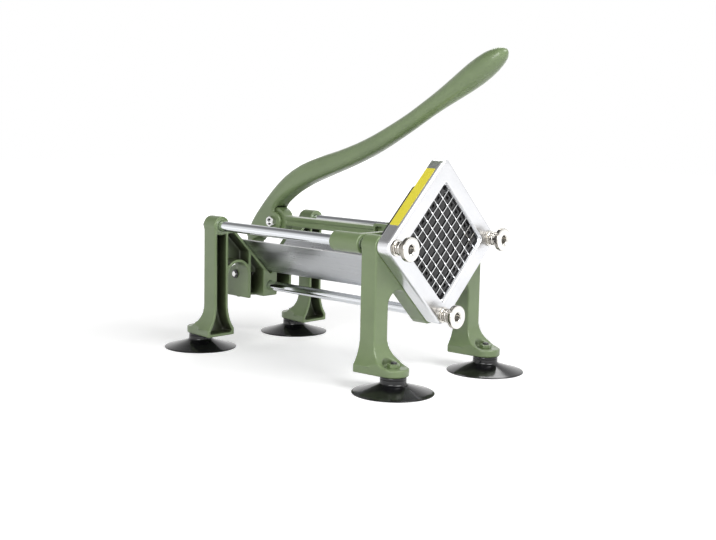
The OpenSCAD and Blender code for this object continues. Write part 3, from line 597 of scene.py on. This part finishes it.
# %% Soften the cassette's frames, which close up tight into one
both_frames = ["blade_frame_front", "blade_frame_back"]
cassette = merged_copy(both_frames, "cassette_frames", 0.25 * MM)
softened(cassette, both_frames, "cage", "frame_aluminium", 0.55 * MM, 4, 0.35)

# %% [markdown]
# ## Turned pieces
# Rods, knobs, pins and even the rubber cups are all round, so one tool
# makes them: a lathe. We start from a small plane melted down to one
# point, draw half of the section by pushing that point along, and spin it
# once about the Z axis. The piece is then laid along X or Y and carried
# to its place.

# %% A lathe and a way to lay pieces down
LAY = {"Z": (0, 0, 0), "X": (0, math.pi / 2, 0), "Y": (-math.pi / 2, 0, 0)}


def drawn(start, strokes):
    """A chain of edges, drawn by pushing one point along; it stays in edit mode."""
    bpy.ops.object.select_all(action="DESELECT")
    bpy.ops.mesh.primitive_plane_add(size=MM, location=(0, 0, 0))
    piece = bpy.context.object
    edit_all()
    bpy.ops.mesh.merge(type="CENTER")
    bpy.ops.transform.translate(value=start)
    for stroke in strokes:
        bpy.ops.mesh.extrude_region_move(TRANSFORM_OT_translate={"value": stroke})
    bpy.ops.mesh.select_all(action="SELECT")
    return piece


def turned(section, steps):
    """Spins half a section, points of radius and height in mm, about Z."""
    piece = drawn((section[0][0] * MM, 0, section[0][1] * MM),
                  [((r1 - r0) * MM, 0, (h1 - h0) * MM)
                   for (r0, h0), (r1, h1) in zip(section, section[1:])])
    bpy.ops.mesh.spin(steps=steps, angle=2 * math.pi, center=(0, 0, 0), axis=(0, 0, 1))
    bpy.ops.mesh.select_all(action="SELECT")
    bpy.ops.mesh.remove_doubles(threshold=0.01 * MM)
    bpy.ops.mesh.normals_make_consistent(inside=False)
    leave_edit()
    return piece


def laid(piece, place, along="Z"):
    """Lays an upright piece along an axis and carries it to its place."""
    piece.rotation_euler = LAY[along]
    piece.location = place
    only(piece)
    bake_place()
    return piece


def thread(radius, depth, start, end, pitch):
    """Section of a thread as a stack of ridges, from start to end."""
    points, turns = [], round((end - start) / pitch)
    step = (end - start) / turns
    for i in range(turns):
        points += [(radius - depth, start + (i + 0.5) * step), (radius, start + (i + 1) * step)]
    return points


print("lathe ready")

# %% [markdown]
# ### Suction cups
# A cup is a thin rubber cone with a feathered lip and a thick neck that is
# moulded round the stud. We draw the outside from the neck down, turn in
# at the lip, and come back along the dished underside.

# %% Turn the four suction cups
cup_low, cup_high = box_of("suction_cup_front_left")
cup_r = (cup_high.x - cup_low.x) / 2 / MM
cup_h = cup_high.z / MM
cup_section = [(0, cup_h), (10.9, cup_h), (11.5, cup_h - 0.2), (11.8, cup_h - 0.7),
               (11.8, 13.4), (11.45, 13.1), (11.45, 12.7), (11.8, 12.4), (11.8, 9.4),
               (12.1, 8.7), (12.9, 8.0), (14.5, 7.25), (18, 6.15), (23, 4.6), (28, 3.1),
               (32, 2.0), (cup_r - 1.6, 1.15), (cup_r - 0.45, 0.8), (cup_r - 0.1, 0.6),
               (cup_r, 0.35), (cup_r - 0.1, 0.1), (cup_r - 0.5, 0), (cup_r - 1.6, 0),
               (30, 0.85), (24, 1.8), (16, 2.7), (8, 3.3), (0, 3.4)]
cup_places = {}
for name in CORNERS:
    node = "suction_cup_" + name
    centre = middle_of(node)
    cup_places[name] = Vector((centre.x, centre.y, 0))
    cup = laid(turned(cup_section, 96), cup_places[name])
    finish_piece(cup, 40, "cup_" + name, "cage", "black_rubber", [node])

# %% [markdown]
# ### Hexagon nuts
# A nut is cut from a hexagon bar, and its ends are then turned to a shallow
# cone, which leaves the curved lines where the cone meets each flat. That
# is exactly how we make it: a six-sided cylinder, and a turned ring with
# the cones and the bore. Only what lies in both of them is kept.

# %% Cut a nut
CONE_SHARE = 0.11  # height of the cone on each end, of the nut's height
FACE_SHARE = 0.97  # radius of the flat end face, of half the width across flats


def hex_nut(across, height, bore, turn=0.0):
    """A nut in mm with its lower end at zero; a bore of nothing makes a bolt's head."""
    corner = across / 2 / math.cos(math.pi / 6)
    bpy.ops.object.select_all(action="DESELECT")
    bpy.ops.mesh.primitive_cylinder_add(vertices=6, radius=corner * MM, depth=height * MM,
                                        end_fill_type="NGON",
                                        location=(0, 0, height / 2 * MM),
                                        rotation=(0, 0, turn))
    nut = bpy.context.object
    bake_place()
    cone, flat = CONE_SHARE * height, across / 2 * FACE_SHARE
    inner = [(bore + 0.35, 0), (flat, 0)] if bore else [(0, 0), (flat, 0)]
    outer = [(corner + 0.02, cone), (corner + 0.02, height - cone), (flat, height)]
    back = [(bore + 0.35, height), (bore, height - 0.4), (bore, 0.4), (bore + 0.35, 0)] \
        if bore else [(0, height)]
    shape = turned(inner + outer + back, 48)
    cut = nut.modifiers.new("cones", "BOOLEAN")
    cut.operation, cut.object, cut.solver = "INTERSECT", shape, "EXACT"
    apply_all(nut)
    bpy.data.objects.remove(shape)
    return nut


print("nut tool ready")

# %% Studs in the feet, and nuts that are sprayed over with the castings
STUD_R = 3
stud_low, stud_high = box_of("cup_studs")
nut_low, nut_high = box_of("cup_nuts")
stud_section = [(0, stud_low.z / MM), (STUD_R, stud_low.z / MM), (STUD_R, nut_low.z / MM)]
stud_section += thread(STUD_R, 0.4, nut_low.z / MM, stud_high.z / MM - 0.5, 1.0)
stud_section += [(STUD_R - 0.5, stud_high.z / MM), (0, stud_high.z / MM)]
first_stud = turned(stud_section, 32)
first_nut = hex_nut(10, (nut_high.z - nut_low.z) / MM, STUD_R, 0.2)
studs, nuts = [], []
for place in cup_places.values():
    studs.append(laid(copy_of(first_stud), place))
    nuts.append(laid(copy_of(first_nut), place + Vector((0, 0, nut_low.z))))
bpy.data.objects.remove(first_stud)
bpy.data.objects.remove(first_nut)
for pieces, name, node, finish in ((studs, "threaded_studs", "cup_studs", "dark_steel"),
                                   (nuts, "stud_nuts", "cup_nuts", "green_paint")):
    whole = joined(pieces)
    finish_piece(whole, 30, name, "cage", "fastener_steel", [node], finish)

# %% [markdown]
# ### Rods
# Each rod is ground and plated bar. Its ends are turned down and threaded:
# the rear ends of the side rods take a nut, the front ends take a knob.

# %% Turn the three rods and the rear nuts
NUT_H = 3.2      # a rear nut
PROUD = 0.9      # what a rod shows past it
SUNK = 4.0       # how much deeper a rod ends in its knob than in the frame
TIP_R = 3.8      # a rod's turned-down ends
CHAMFER, TIP_CHAMFER = 0.4, 0.6
THREAD_DEPTH, THREAD_PITCH = 0.45, 1.25
REAR_THREAD_END, FRONT_THREAD = 4.4, 10.6
nuts_high = box_of("rod_nuts")[1]
front_step_x = trough_high.x - 10.5 * MM
rear_step_x = trough_low.x - 5 * MM


def rod(node, radius, has_nut):
    """Turns a rod; one without a nut ends thick and flush at the rear."""
    low, high = box_of(node)
    x0 = nuts_high.x - (NUT_H + PROUD) * MM if has_nut else low.x
    length = (high.x - x0) / MM - SUNK
    rear_step, front_step = (rear_step_x - x0) / MM, (front_step_x - x0) / MM
    section = [(0, 0)]
    if has_nut:
        section += [(TIP_R - TIP_CHAMFER, 0), (TIP_R, TIP_CHAMFER)]
        section += thread(TIP_R, THREAD_DEPTH, TIP_CHAMFER, REAR_THREAD_END, THREAD_PITCH)
        section += [(TIP_R, rear_step), (radius - CHAMFER, rear_step),
                    (radius, rear_step + CHAMFER)]
    else:
        section += [(radius - CHAMFER, 0), (radius, CHAMFER)]
    section += [(radius, front_step - CHAMFER), (radius - CHAMFER, front_step),
                (TIP_R, front_step), (TIP_R, length - FRONT_THREAD)]
    section += thread(TIP_R, THREAD_DEPTH, length - FRONT_THREAD, length - TIP_CHAMFER,
                      THREAD_PITCH)
    section += [(TIP_R - TIP_CHAMFER, length), (1.5, length), (0.9, length - 0.8),
                (0.8, length - 2.4), (0, length - 2.9)]
    centre = middle_of(node)
    piece = laid(turned(section, 96), Vector((x0, centre.y, centre.z)), "X")
    finish_piece(piece, 25, node + "_turned", "cage", "rod_chrome", [node])


rod("side_rod_left", 5.0, True)
rod("side_rod_right", 5.0, True)
rod("lower_rod", 4.75, False)
rear_nuts = []
for side in (-1, 1):
    y = middle_of("side_rod_left").y * side
    rear_nuts.append(laid(hex_nut(13, NUT_H, TIP_R),
                          Vector((nuts_high.x - NUT_H * MM, y, middle_of("rod_nuts").z)),
                          "X"))
whole = joined(rear_nuts)
finish_piece(whole, 30, "rear_nuts", "cage", "fastener_steel", ["rod_nuts"])

# %% [markdown]
# ### Knobs
# The knobs are turned from bar: a thin disc to grip, a stem with two
# grooves, and a bore whose mouth shows the end of the threaded rod. Every
# corner of the section is broken by two or three short steps, because a
# turned edge is never dead sharp.

# %% Turn the three knobs
knob_section = [(4.0, 0), (7.0, 0), (7.3, 0.15), (7.4, 0.5), (7.4, 1.4), (7.25, 1.75),
                (6.9, 1.9), (6.5, 1.95), (6.5, 2.7), (6.2, 2.95), (5.1, 3.2), (4.95, 3.4),
                (4.95, 4.4),
                (5.1, 4.65), (6.2, 4.9), (6.5, 5.15), (6.5, 7.2), (6.3, 7.6), (6.05, 7.85),
                (6.05, 12.3), (6.2, 12.7), (6.6, 13.1), (7.4, 13.4), (9.9, 13.4), (10.4, 13.55),
                (10.75, 13.9), (10.85, 14.4), (10.85, 16.6), (10.75, 17.2), (10.45, 17.65),
                (9.9, 17.9), (9.2, 18.0), (5.2, 18.0), (4.8, 17.9), (4.5, 17.6), (3.85, 16.9),
                (3.85, 12.0), (3.85, 0.15), (4.0, 0)]
for name in ("left", "right", "bottom"):
    node = "knob_" + name
    low, high = box_of(node)
    centre = (low + high) / 2
    knob = laid(turned(knob_section, 96), Vector((low.x, centre.y, centre.z)), "X")
    finish_piece(knob, 25, "turned_knob_" + name, node, "knob_metal", [node])

# %% [markdown]
# ### Pins and bolt of the linkage
# The lever turns on a steel pin in the rear block, kept by a clip. The
# link hangs on a bolt with a hexagon head on one side and a nut on the
# other, and its drop end carries a plain pin.

# %% Turn the pins and cut the bolt
PIN_R = 3
HEAD_T = 2.5      # the pivot pin's head
BOLT_HEAD_H = 5
BOLT_END = 2.4    # from the nut's outer face in to the bolt's end
pin_low, pin_high = box_of("pivot_pin")
clip_low, clip_high = box_of("pivot_clip")
at = middle_of("pivot_clip")
span = (pin_high.y - pin_low.y) / MM
head_r = (pin_high.z - pin_low.z) / 2 / MM
pin = laid(turned([(0, 0.25), (1.2, 0), (2.5, 0.15), (PIN_R, 0.6), (PIN_R, span - HEAD_T),
                   (head_r - 0.3, span - HEAD_T), (head_r, span - 2.2), (head_r, span - 0.9),
                   (head_r - 0.4, span - 0.4), (head_r - 1.2, span - 0.1), (2.4, span),
                   (0, span)], 48), Vector((at.x, pin_low.y, at.z)), "Y")
finish_piece(pin, 30, "pivot_pin_turned", "cage", "fastener_steel", ["pivot_pin"])
thick = (clip_high.y - clip_low.y) / MM
clip_r = (clip_high.z - clip_low.z) / 2 / MM
clip = laid(turned([(PIN_R, 0), (clip_r - 0.2, 0), (clip_r, 0.2), (clip_r, thick - 0.2),
                    (clip_r - 0.2, thick), (PIN_R, thick), (PIN_R, 0)], 48),
            Vector((at.x, clip_low.y, at.z)), "Y")
# the clip's dark steel is partly painted shade, for the shadow round the pivot
finish_piece(clip, 30, "pivot_clip_turned", "cage", "fastener_steel", ["pivot_clip"],
             "dark_steel")

at = middle_of("link_nut")
nut_low, nut_high = box_of("link_nut")
nut = laid(hex_nut(10, (nut_high.y - nut_low.y) / MM, PIN_R),
           Vector((at.x, nut_low.y, at.z)), "Y")
finish_piece(nut, 30, "link_nut_cut", "lever", "fastener_steel", ["link_nut"])
bolt_high = box_of("link_bolt")[1]
shank = laid(turned([(0, 0), (2.3, 0)] + thread(PIN_R, 0.4, 0.5, 6.5, 1.0)
                    + [(PIN_R, 8), (PIN_R, 25), (0, 25)], 48),
             Vector((at.x, nut_low.y + BOLT_END * MM, at.z)), "Y")
head = laid(hex_nut(10, BOLT_HEAD_H, 0),
            Vector((at.x, bolt_high.y - BOLT_HEAD_H * MM, at.z)), "Y")
bolt = joined([shank, head])
finish_piece(bolt, 30, "link_bolt_cut", "lever", "fastener_steel", ["link_bolt"])
low, high = box_of("link_pin")
span = (high.y - low.y) / MM
at = (low + high) / 2
pin = laid(turned([(0, 0), (2.5, 0), (PIN_R, 0.5), (PIN_R, span - 0.5), (2.5, span),
                   (0, span)], 48), Vector((at.x, low.y, at.z)), "Y")
finish_piece(pin, 30, "link_pin_turned", "link", "fastener_steel", ["link_pin"])

# %% [markdown]
# ### Screws of the pusher
# Two pan-head screws with a round socket hold the black block to the
# carriage's head.

# %% Turn the pusher's screws
SCREW_R = 4
low, high = box_of("pusher_screws")
length = (high.x - low.x) / MM
section = [(0, 1.4), (1.5, 1.4), (1.5, 0.1), (2.2, 0), (3.2, 0.35), (3.8, 1.0), (SCREW_R, 1.7),
           (3.9, 2.0), (2, 2.0), (2, length), (0, length)]
screws = []
for z in (low.z + SCREW_R * MM, high.z - SCREW_R * MM):
    screws.append(laid(turned(section, 40), Vector((low.x, (low.y + high.y) / 2, z)), "X"))
whole = joined(screws)
finish_piece(whole, 30, "pusher_screws_turned", "carriage", "fastener_steel", ["pusher_screws"])

# %% [markdown]
# ## The trough
# The trough is one sheet, folded once. We draw the fold as a chain of
# points across the machine, pull the chain along to get a skin, give the
# skin the sheet's thickness outwards, and break its edges.

# %% A small bevel on every edge sharper than an angle
def break_edges(piece, width, sharp):
    soft = piece.modifiers.new("broken_edges", "BEVEL")
    soft.width, soft.segments, soft.limit_method = width * MM, 2, "ANGLE"
    soft.angle_limit = math.radians(sharp)


# %% Fold the trough
TROUGH_HALF = 37.1  # from the opening's middle to the sheet's inner face
BEND_R, BEND_STEPS = 5, 8
SHEET_T = 1.0
axis_z = middle_of("side_rod_left").z
inner = TROUGH_HALF * math.sqrt(2)
rim = (trough_high.z - axis_z) / MM
chain = [(-(inner + rim), rim)]
for step in range(BEND_STEPS + 1):
    angle = math.radians(-135 + 90 * step / BEND_STEPS)
    chain.append((BEND_R * math.cos(angle),
                  -inner + BEND_R * math.sqrt(2) + BEND_R * math.sin(angle)))
chain.append((inner + rim, rim))
trough = drawn((trough_low.x, chain[0][0] * MM, axis_z + chain[0][1] * MM),
               [(0, (y1 - y0) * MM, (z1 - z0) * MM)
                for (y0, z0), (y1, z1) in zip(chain, chain[1:])])
bpy.ops.mesh.extrude_region_move(
    TRANSFORM_OT_translate={"value": (trough_high.x - trough_low.x, 0, 0)})
bpy.ops.mesh.select_all(action="SELECT")
bpy.ops.mesh.normals_make_consistent(inside=False)
leave_edit()
face = max(trough.data.polygons, key=lambda f: f.area)
inward = face.normal.z > 0
sheet = trough.modifiers.new("sheet", "SOLIDIFY")
sheet.thickness, sheet.offset = SHEET_T * MM, -1 if inward else 1
sheet.use_even_offset = True
break_edges(trough, 0.22, 50)
apply_all(trough)
finish_piece(trough, 30, "folded_trough", "cage", "trough_steel", ["v_trough"])

# %% [markdown]
# ## Blades
# Seven strips cross seven more. A strip is as thin as a card, flat at the
# front and ground to an edge at the back, where it meets the potato. The
# strips cross through notches, so the front edges of both sets lie nearly
# level. One strip is made and copied, each copy moved one cell on.

# %% A plain bar to start from
def bar(size, middle=(0, 0, 0)):
    """A box with its size in mm and its middle in metres."""
    bpy.ops.object.select_all(action="DESELECT")
    bpy.ops.mesh.primitive_cube_add(size=1, location=middle)
    piece = bpy.context.object
    piece.scale = [side * MM for side in size]
    bake_place()
    return piece


# %% Grind one blade and copy it
CELLS, PITCH = 8, 9.525
BLADE_LENGTH, BLADE_DEPTH, BLADE_T = 81.0, 4.0, 0.75
GRIND = 1.2        # depth of the ground bevel
EDGE_SHARE = 0.12  # thickness left at the edge, of the blade's
NOTCHED = 2.9      # how much further forward the back set reaches


def blade(depth):
    """One strip, flat at the front and ground to an edge at the back."""
    piece = bar((depth, BLADE_LENGTH, BLADE_T))
    edit_all()
    bpy.ops.mesh.bisect(plane_co=(-depth / 2 * MM + GRIND * MM, 0, 0), plane_no=(1, 0, 0))
    leave_edit()
    pick(piece, "VERT", lambda v: v.co.x < -depth / 2 * MM + 0.1 * MM)
    bpy.ops.transform.resize(value=(1, 1, EDGE_SHARE), center_override=(0, 0, 0))
    leave_edit()
    return piece


for node, tilt, forward in (("blades_front", 45, 0.0), ("blades_back", -45, NOTCHED)):
    low, high = box_of(node)
    high.x += forward * MM
    first = blade(BLADE_DEPTH + forward)
    strips = []
    for i in range(1 - CELLS // 2, CELLS // 2):
        strip = copy_of(first)
        offset = Matrix.Rotation(math.radians(tilt), 3, "X") @ Vector((0, 0, i * PITCH * MM))
        strip.rotation_euler = (math.radians(tilt), 0, 0)
        strip.location = Vector(((low.x + high.x) / 2, 0, axis_z)) + offset
        strips.append(strip)
    bpy.data.objects.remove(first)
    grid = joined(strips)
    finish_piece(grid, 20, node + "_ground", "cage", "blade_steel", [node])

# %% [markdown]
# ## The pusher
# The pusher is one moulding: a square base with sixty-four pins, one for
# each cell. A pin is a bar with softened edges and a square recess in its
# end. The outer pins are a little narrower, so that they clear the
# trough, and the four corner pins are rounded and plain. With the lever
# down the pins stand in the cells, just behind the blades' front edges.

# %% Mould one pin, copy it and set it on its base
FRAME_PIN = 20.0           # length of a pin in the frame
PIN_W = PITCH - 1.0 - 0.8  # a cell less a blade and the gap around a pin
BASE_HALF, BASE_R = 36.3, 5.5
PIN_BACK = 1.2             # from the blades' front in to the pins' ends
LONGER = 0.6               # added to a pin, half of it hidden in the base
OUTER_LESS, CORNER_LESS = 0.9, 2.2     # what outer and corner pins lack in width
OUTER_SHIFT, CORNER_SHIFT = 0.45, 2.4  # mm inward, and times that for a corner
LAST = (CELLS - 1) / 2
block_low, block_high = box_of("pusher_block")
base_t = (block_high.x - block_low.x) / MM - FRAME_PIN
REACH = (box_of("blades_front")[1].x - block_high.x) / MM - PIN_BACK


def pusher_pin(width_u, width_v, recess):
    """One pin along X from its root, with a square recess in its end if wanted."""
    length = FRAME_PIN + REACH
    piece = bar((length + LONGER, width_u, width_v), (length / 2 * MM, 0, 0))
    edit_all()
    bpy.ops.mesh.bevel(offset=0.35 * MM, segments=2)
    leave_edit()
    if recess:
        end = max(piece.data.polygons, key=lambda f: (f.normal.x > 0.99) * f.area)
        for f in piece.data.polygons:
            f.select = f == end
        bpy.ops.object.mode_set(mode="EDIT")
        bpy.ops.mesh.select_mode(type="FACE")
        bpy.ops.mesh.inset(thickness=1.35 * MM, depth=0)
        bpy.ops.mesh.inset(thickness=0.25 * MM, depth=-0.3 * MM)
        bpy.ops.mesh.extrude_region_move(
            TRANSFORM_OT_translate={"value": (-1.6 * MM, 0, 0)})
        leave_edit()
    return piece


def edge_shift(i):
    """How far a pin of row i is moved inward: only the outer rows are."""
    return -OUTER_SHIFT if i == LAST else OUTER_SHIFT if i == -LAST else 0.0


inner_pin = pusher_pin(PIN_W, PIN_W, True)
pins = []
for iu in range(CELLS):
    for iv in range(CELLS):
        u, v = iu - LAST, iv - LAST
        du, dv = edge_shift(u), edge_shift(v)
        if du and dv:
            pin = pusher_pin(PIN_W - CORNER_LESS, PIN_W - CORNER_LESS, False)
            du, dv = CORNER_SHIFT * du, CORNER_SHIFT * dv
        elif du or dv:
            pin = pusher_pin(PIN_W - OUTER_LESS * (du != 0), PIN_W - OUTER_LESS * (dv != 0),
                             True)
        else:
            pin = copy_of(inner_pin)
        pin.location = (block_low.x + base_t * MM, (u * PITCH + du) * MM,
                        (v * PITCH + dv) * MM)
        pins.append(pin)
bpy.data.objects.remove(inner_pin)
base = bar((base_t, 2 * BASE_HALF, 2 * BASE_HALF), (block_low.x + base_t / 2 * MM, 0, 0))
points = base.data.vertices
pick(base, "EDGE", lambda e: abs(points[e.vertices[0]].co.x - points[e.vertices[1]].co.x)
     > 0.5 * base_t * MM)
bpy.ops.mesh.bevel(offset=BASE_R * MM, segments=8)
leave_edit()
break_edges(base, 0.5, 60)
apply_all(base)
block = joined([base] + pins)
bake_place()
block.rotation_euler = (math.radians(45), 0, 0)
block.location = (0, 0, axis_z)
finish_piece(block, 30, "pusher_moulding", "carriage", "black_plastic", ["pusher_block"])

# %% [markdown]
# ## The bare strip
# A plain strip of yellow film lies on the cassette's upper side. It is as
# thin as tape, so a plane with rounded corners and a little thickness is
# all it needs.

# %% Lay the strip on the cassette
STRIP_WIDTH, STRIP_LENGTH, STRIP_T = 10.4, 68, 0.12
STRIP_X = 6.2       # from the cassette's rear face to the strip's middle
STRIP_OUT = 55.53   # from the opening's middle out to the cassette's side
STRIP_ALONG = 5     # and along that side
bpy.ops.object.select_all(action="DESELECT")
bpy.ops.mesh.primitive_plane_add(size=1, location=(0, 0, 0))
strip = bpy.context.object
strip.scale = (STRIP_WIDTH * MM, STRIP_LENGTH * MM, 1)
bake_place()
edit_all()
bpy.ops.mesh.bevel(offset=1.0 * MM, segments=5, affect="VERTICES")
leave_edit()
film = strip.modifiers.new("film", "SOLIDIFY")
film.thickness, film.offset = STRIP_T * MM, 1
apply_all(strip)
cassette_x = box_of("blade_frame_back")[0].x
out = Vector((0, -1, 1)).normalized()
along = Vector((0, 1, 1)).normalized()
strip.rotation_euler = (math.radians(45), 0, 0)
strip.location = (Vector((cassette_x + STRIP_X * MM, 0, axis_z)) + out * STRIP_OUT * MM
                  + along * STRIP_ALONG * MM)
finish_piece(strip, 30, "yellow_strip", "cage", "frame_aluminium", finish="strip_film")

# %% [markdown]
# ## The studio
# A pale floor, a white room, and soft lamps. The floor is a plain white
# sheet that keeps the machine's shadow and runs out to pure white. Metal
# looks like metal only when it has something dark to mirror, so the room
# that reflections see is white near the ground and dim high up behind.

# %% Floor and room
FADE_FROM, FADE_TO = 0.30, 0.85  # where the floor begins and ends to glow, from the middle
FLOOR_LIFT = 0.40                # light added to the floor that the camera sees
ROOM_LIGHT = 0.12                # how much the room lights matt surfaces
DIM_WALL = 0.22                  # what mirrors see high up behind
bpy.ops.object.select_all(action="DESELECT")
bpy.ops.mesh.primitive_plane_add(size=8, location=(0, 0, 0))
floor = bpy.context.object
floor.name = "studio_floor"
floor_white = bpy.data.materials.new("floor_white")
floor_white.use_nodes = True
tree = floor_white.node_tree
tree.nodes.clear()
w = Wires(tree)
sheet = w.add("ShaderNodeBsdfDiffuse")
sheet.inputs["Color"].default_value = (0.9, 0.9, 0.9, 1)
glow = w.add("ShaderNodeEmission")
path = w.add("ShaderNodeLightPath")
seen = w.maths("MAXIMUM", w.maths("MAXIMUM", path.outputs["Is Camera Ray"],
                                  path.outputs["Is Glossy Ray"]),
               path.outputs["Is Transmission Ray"])
where = w.add("ShaderNodeTexCoord").outputs["Object"]
away = w.add("ShaderNodeVectorMath", operation="LENGTH")
w.join(where, away.inputs[0])
far = w.mapped(away.outputs["Value"], FADE_FROM, FADE_TO, 0.0, 1.0)
mix = w.add("ShaderNodeMixShader")
w.join(w.maths("MULTIPLY", far, seen), mix.inputs[0])
w.join(sheet.outputs[0], mix.inputs[1])
w.join(glow.outputs[0], mix.inputs[2])
lift = w.add("ShaderNodeEmission")
w.join(w.maths("MULTIPLY", seen, FLOOR_LIFT), lift.inputs["Strength"])
total = w.add("ShaderNodeAddShader")
w.join(mix.outputs[0], total.inputs[0])
w.join(lift.outputs[0], total.inputs[1])
w.join(total.outputs[0], w.add("ShaderNodeOutputMaterial").inputs["Surface"])
floor.data.materials.append(floor_white)

world = bpy.data.worlds.new("studio_room")
bpy.context.scene.world = world
world.use_nodes = True
world.node_tree.nodes.clear()
w = Wires(world.node_tree)
path = w.add("ShaderNodeLightPath")
seen = w.maths("MAXIMUM", path.outputs["Is Camera Ray"], path.outputs["Is Transmission Ray"])
room = w.add("ShaderNodeBackground")
room.inputs["Color"].default_value = (1, 1, 1, 1)
toward = w.add("ShaderNodeSeparateXYZ")
w.join(w.add("ShaderNodeTexCoord").outputs["Generated"], toward.inputs[0])
high_up = w.mapped(toward.outputs["Z"], 0.30, 0.66, 0.0, 1.0)
behind = w.mapped(toward.outputs["X"], 0.25, -0.45, 0.0, 1.0)
dim = w.mapped(w.maths("MULTIPLY", high_up, behind), 0, 1, 1.0, DIM_WALL)
mirrored = w.maths("MULTIPLY", path.outputs["Is Glossy Ray"], dim)
shown = w.maths("MAXIMUM", seen, mirrored)
looked_at = w.maths("MAXIMUM", seen, path.outputs["Is Glossy Ray"])
plain = w.maths("MULTIPLY", w.maths("SUBTRACT", 1.0, looked_at), ROOM_LIGHT)
w.join(w.maths("ADD", shown, plain), room.inputs["Strength"])
w.join(room.outputs[0], w.add("ShaderNodeOutputWorld").inputs["Surface"])
print("studio ready")

# %% [markdown]
# ## Lamps
# One large soft box, high before the blade end, is the key. A smaller one
# lights the near side, and one behind draws a rim along the lever. Their
# power is set so that a painted colour renders about as it was mixed.

# %% Hang the lamps
def soft_box(name, place, target, width, height, watts):
    """A lamp with a wide face, turned toward its target."""
    direction = Vector(target) - Vector(place)
    facing = direction.to_track_quat("-Z", "Y").to_euler()
    bpy.ops.object.light_add(type="AREA", location=place, rotation=facing)
    lamp = bpy.context.object
    lamp.name = name
    lamp.data.shape = "RECTANGLE"
    lamp.data.size, lamp.data.size_y = width, height
    lamp.data.energy = watts
    print(name, "gives", watts, "W")


soft_box("key_box", (1.3, 0.1, 1.3), (0.05, 0, 0.12), 1.1, 0.9, 21)
soft_box("side_box", (0.5, -1.1, 0.6), (0.05, 0, 0.1), 0.7, 0.7, 8)
soft_box("rim_box", (-0.8, 1.2, 1.5), (0, 0, 0.1), 1.0, 0.6, 8)
bpy.context.scene.view_settings.view_transform = "Standard"
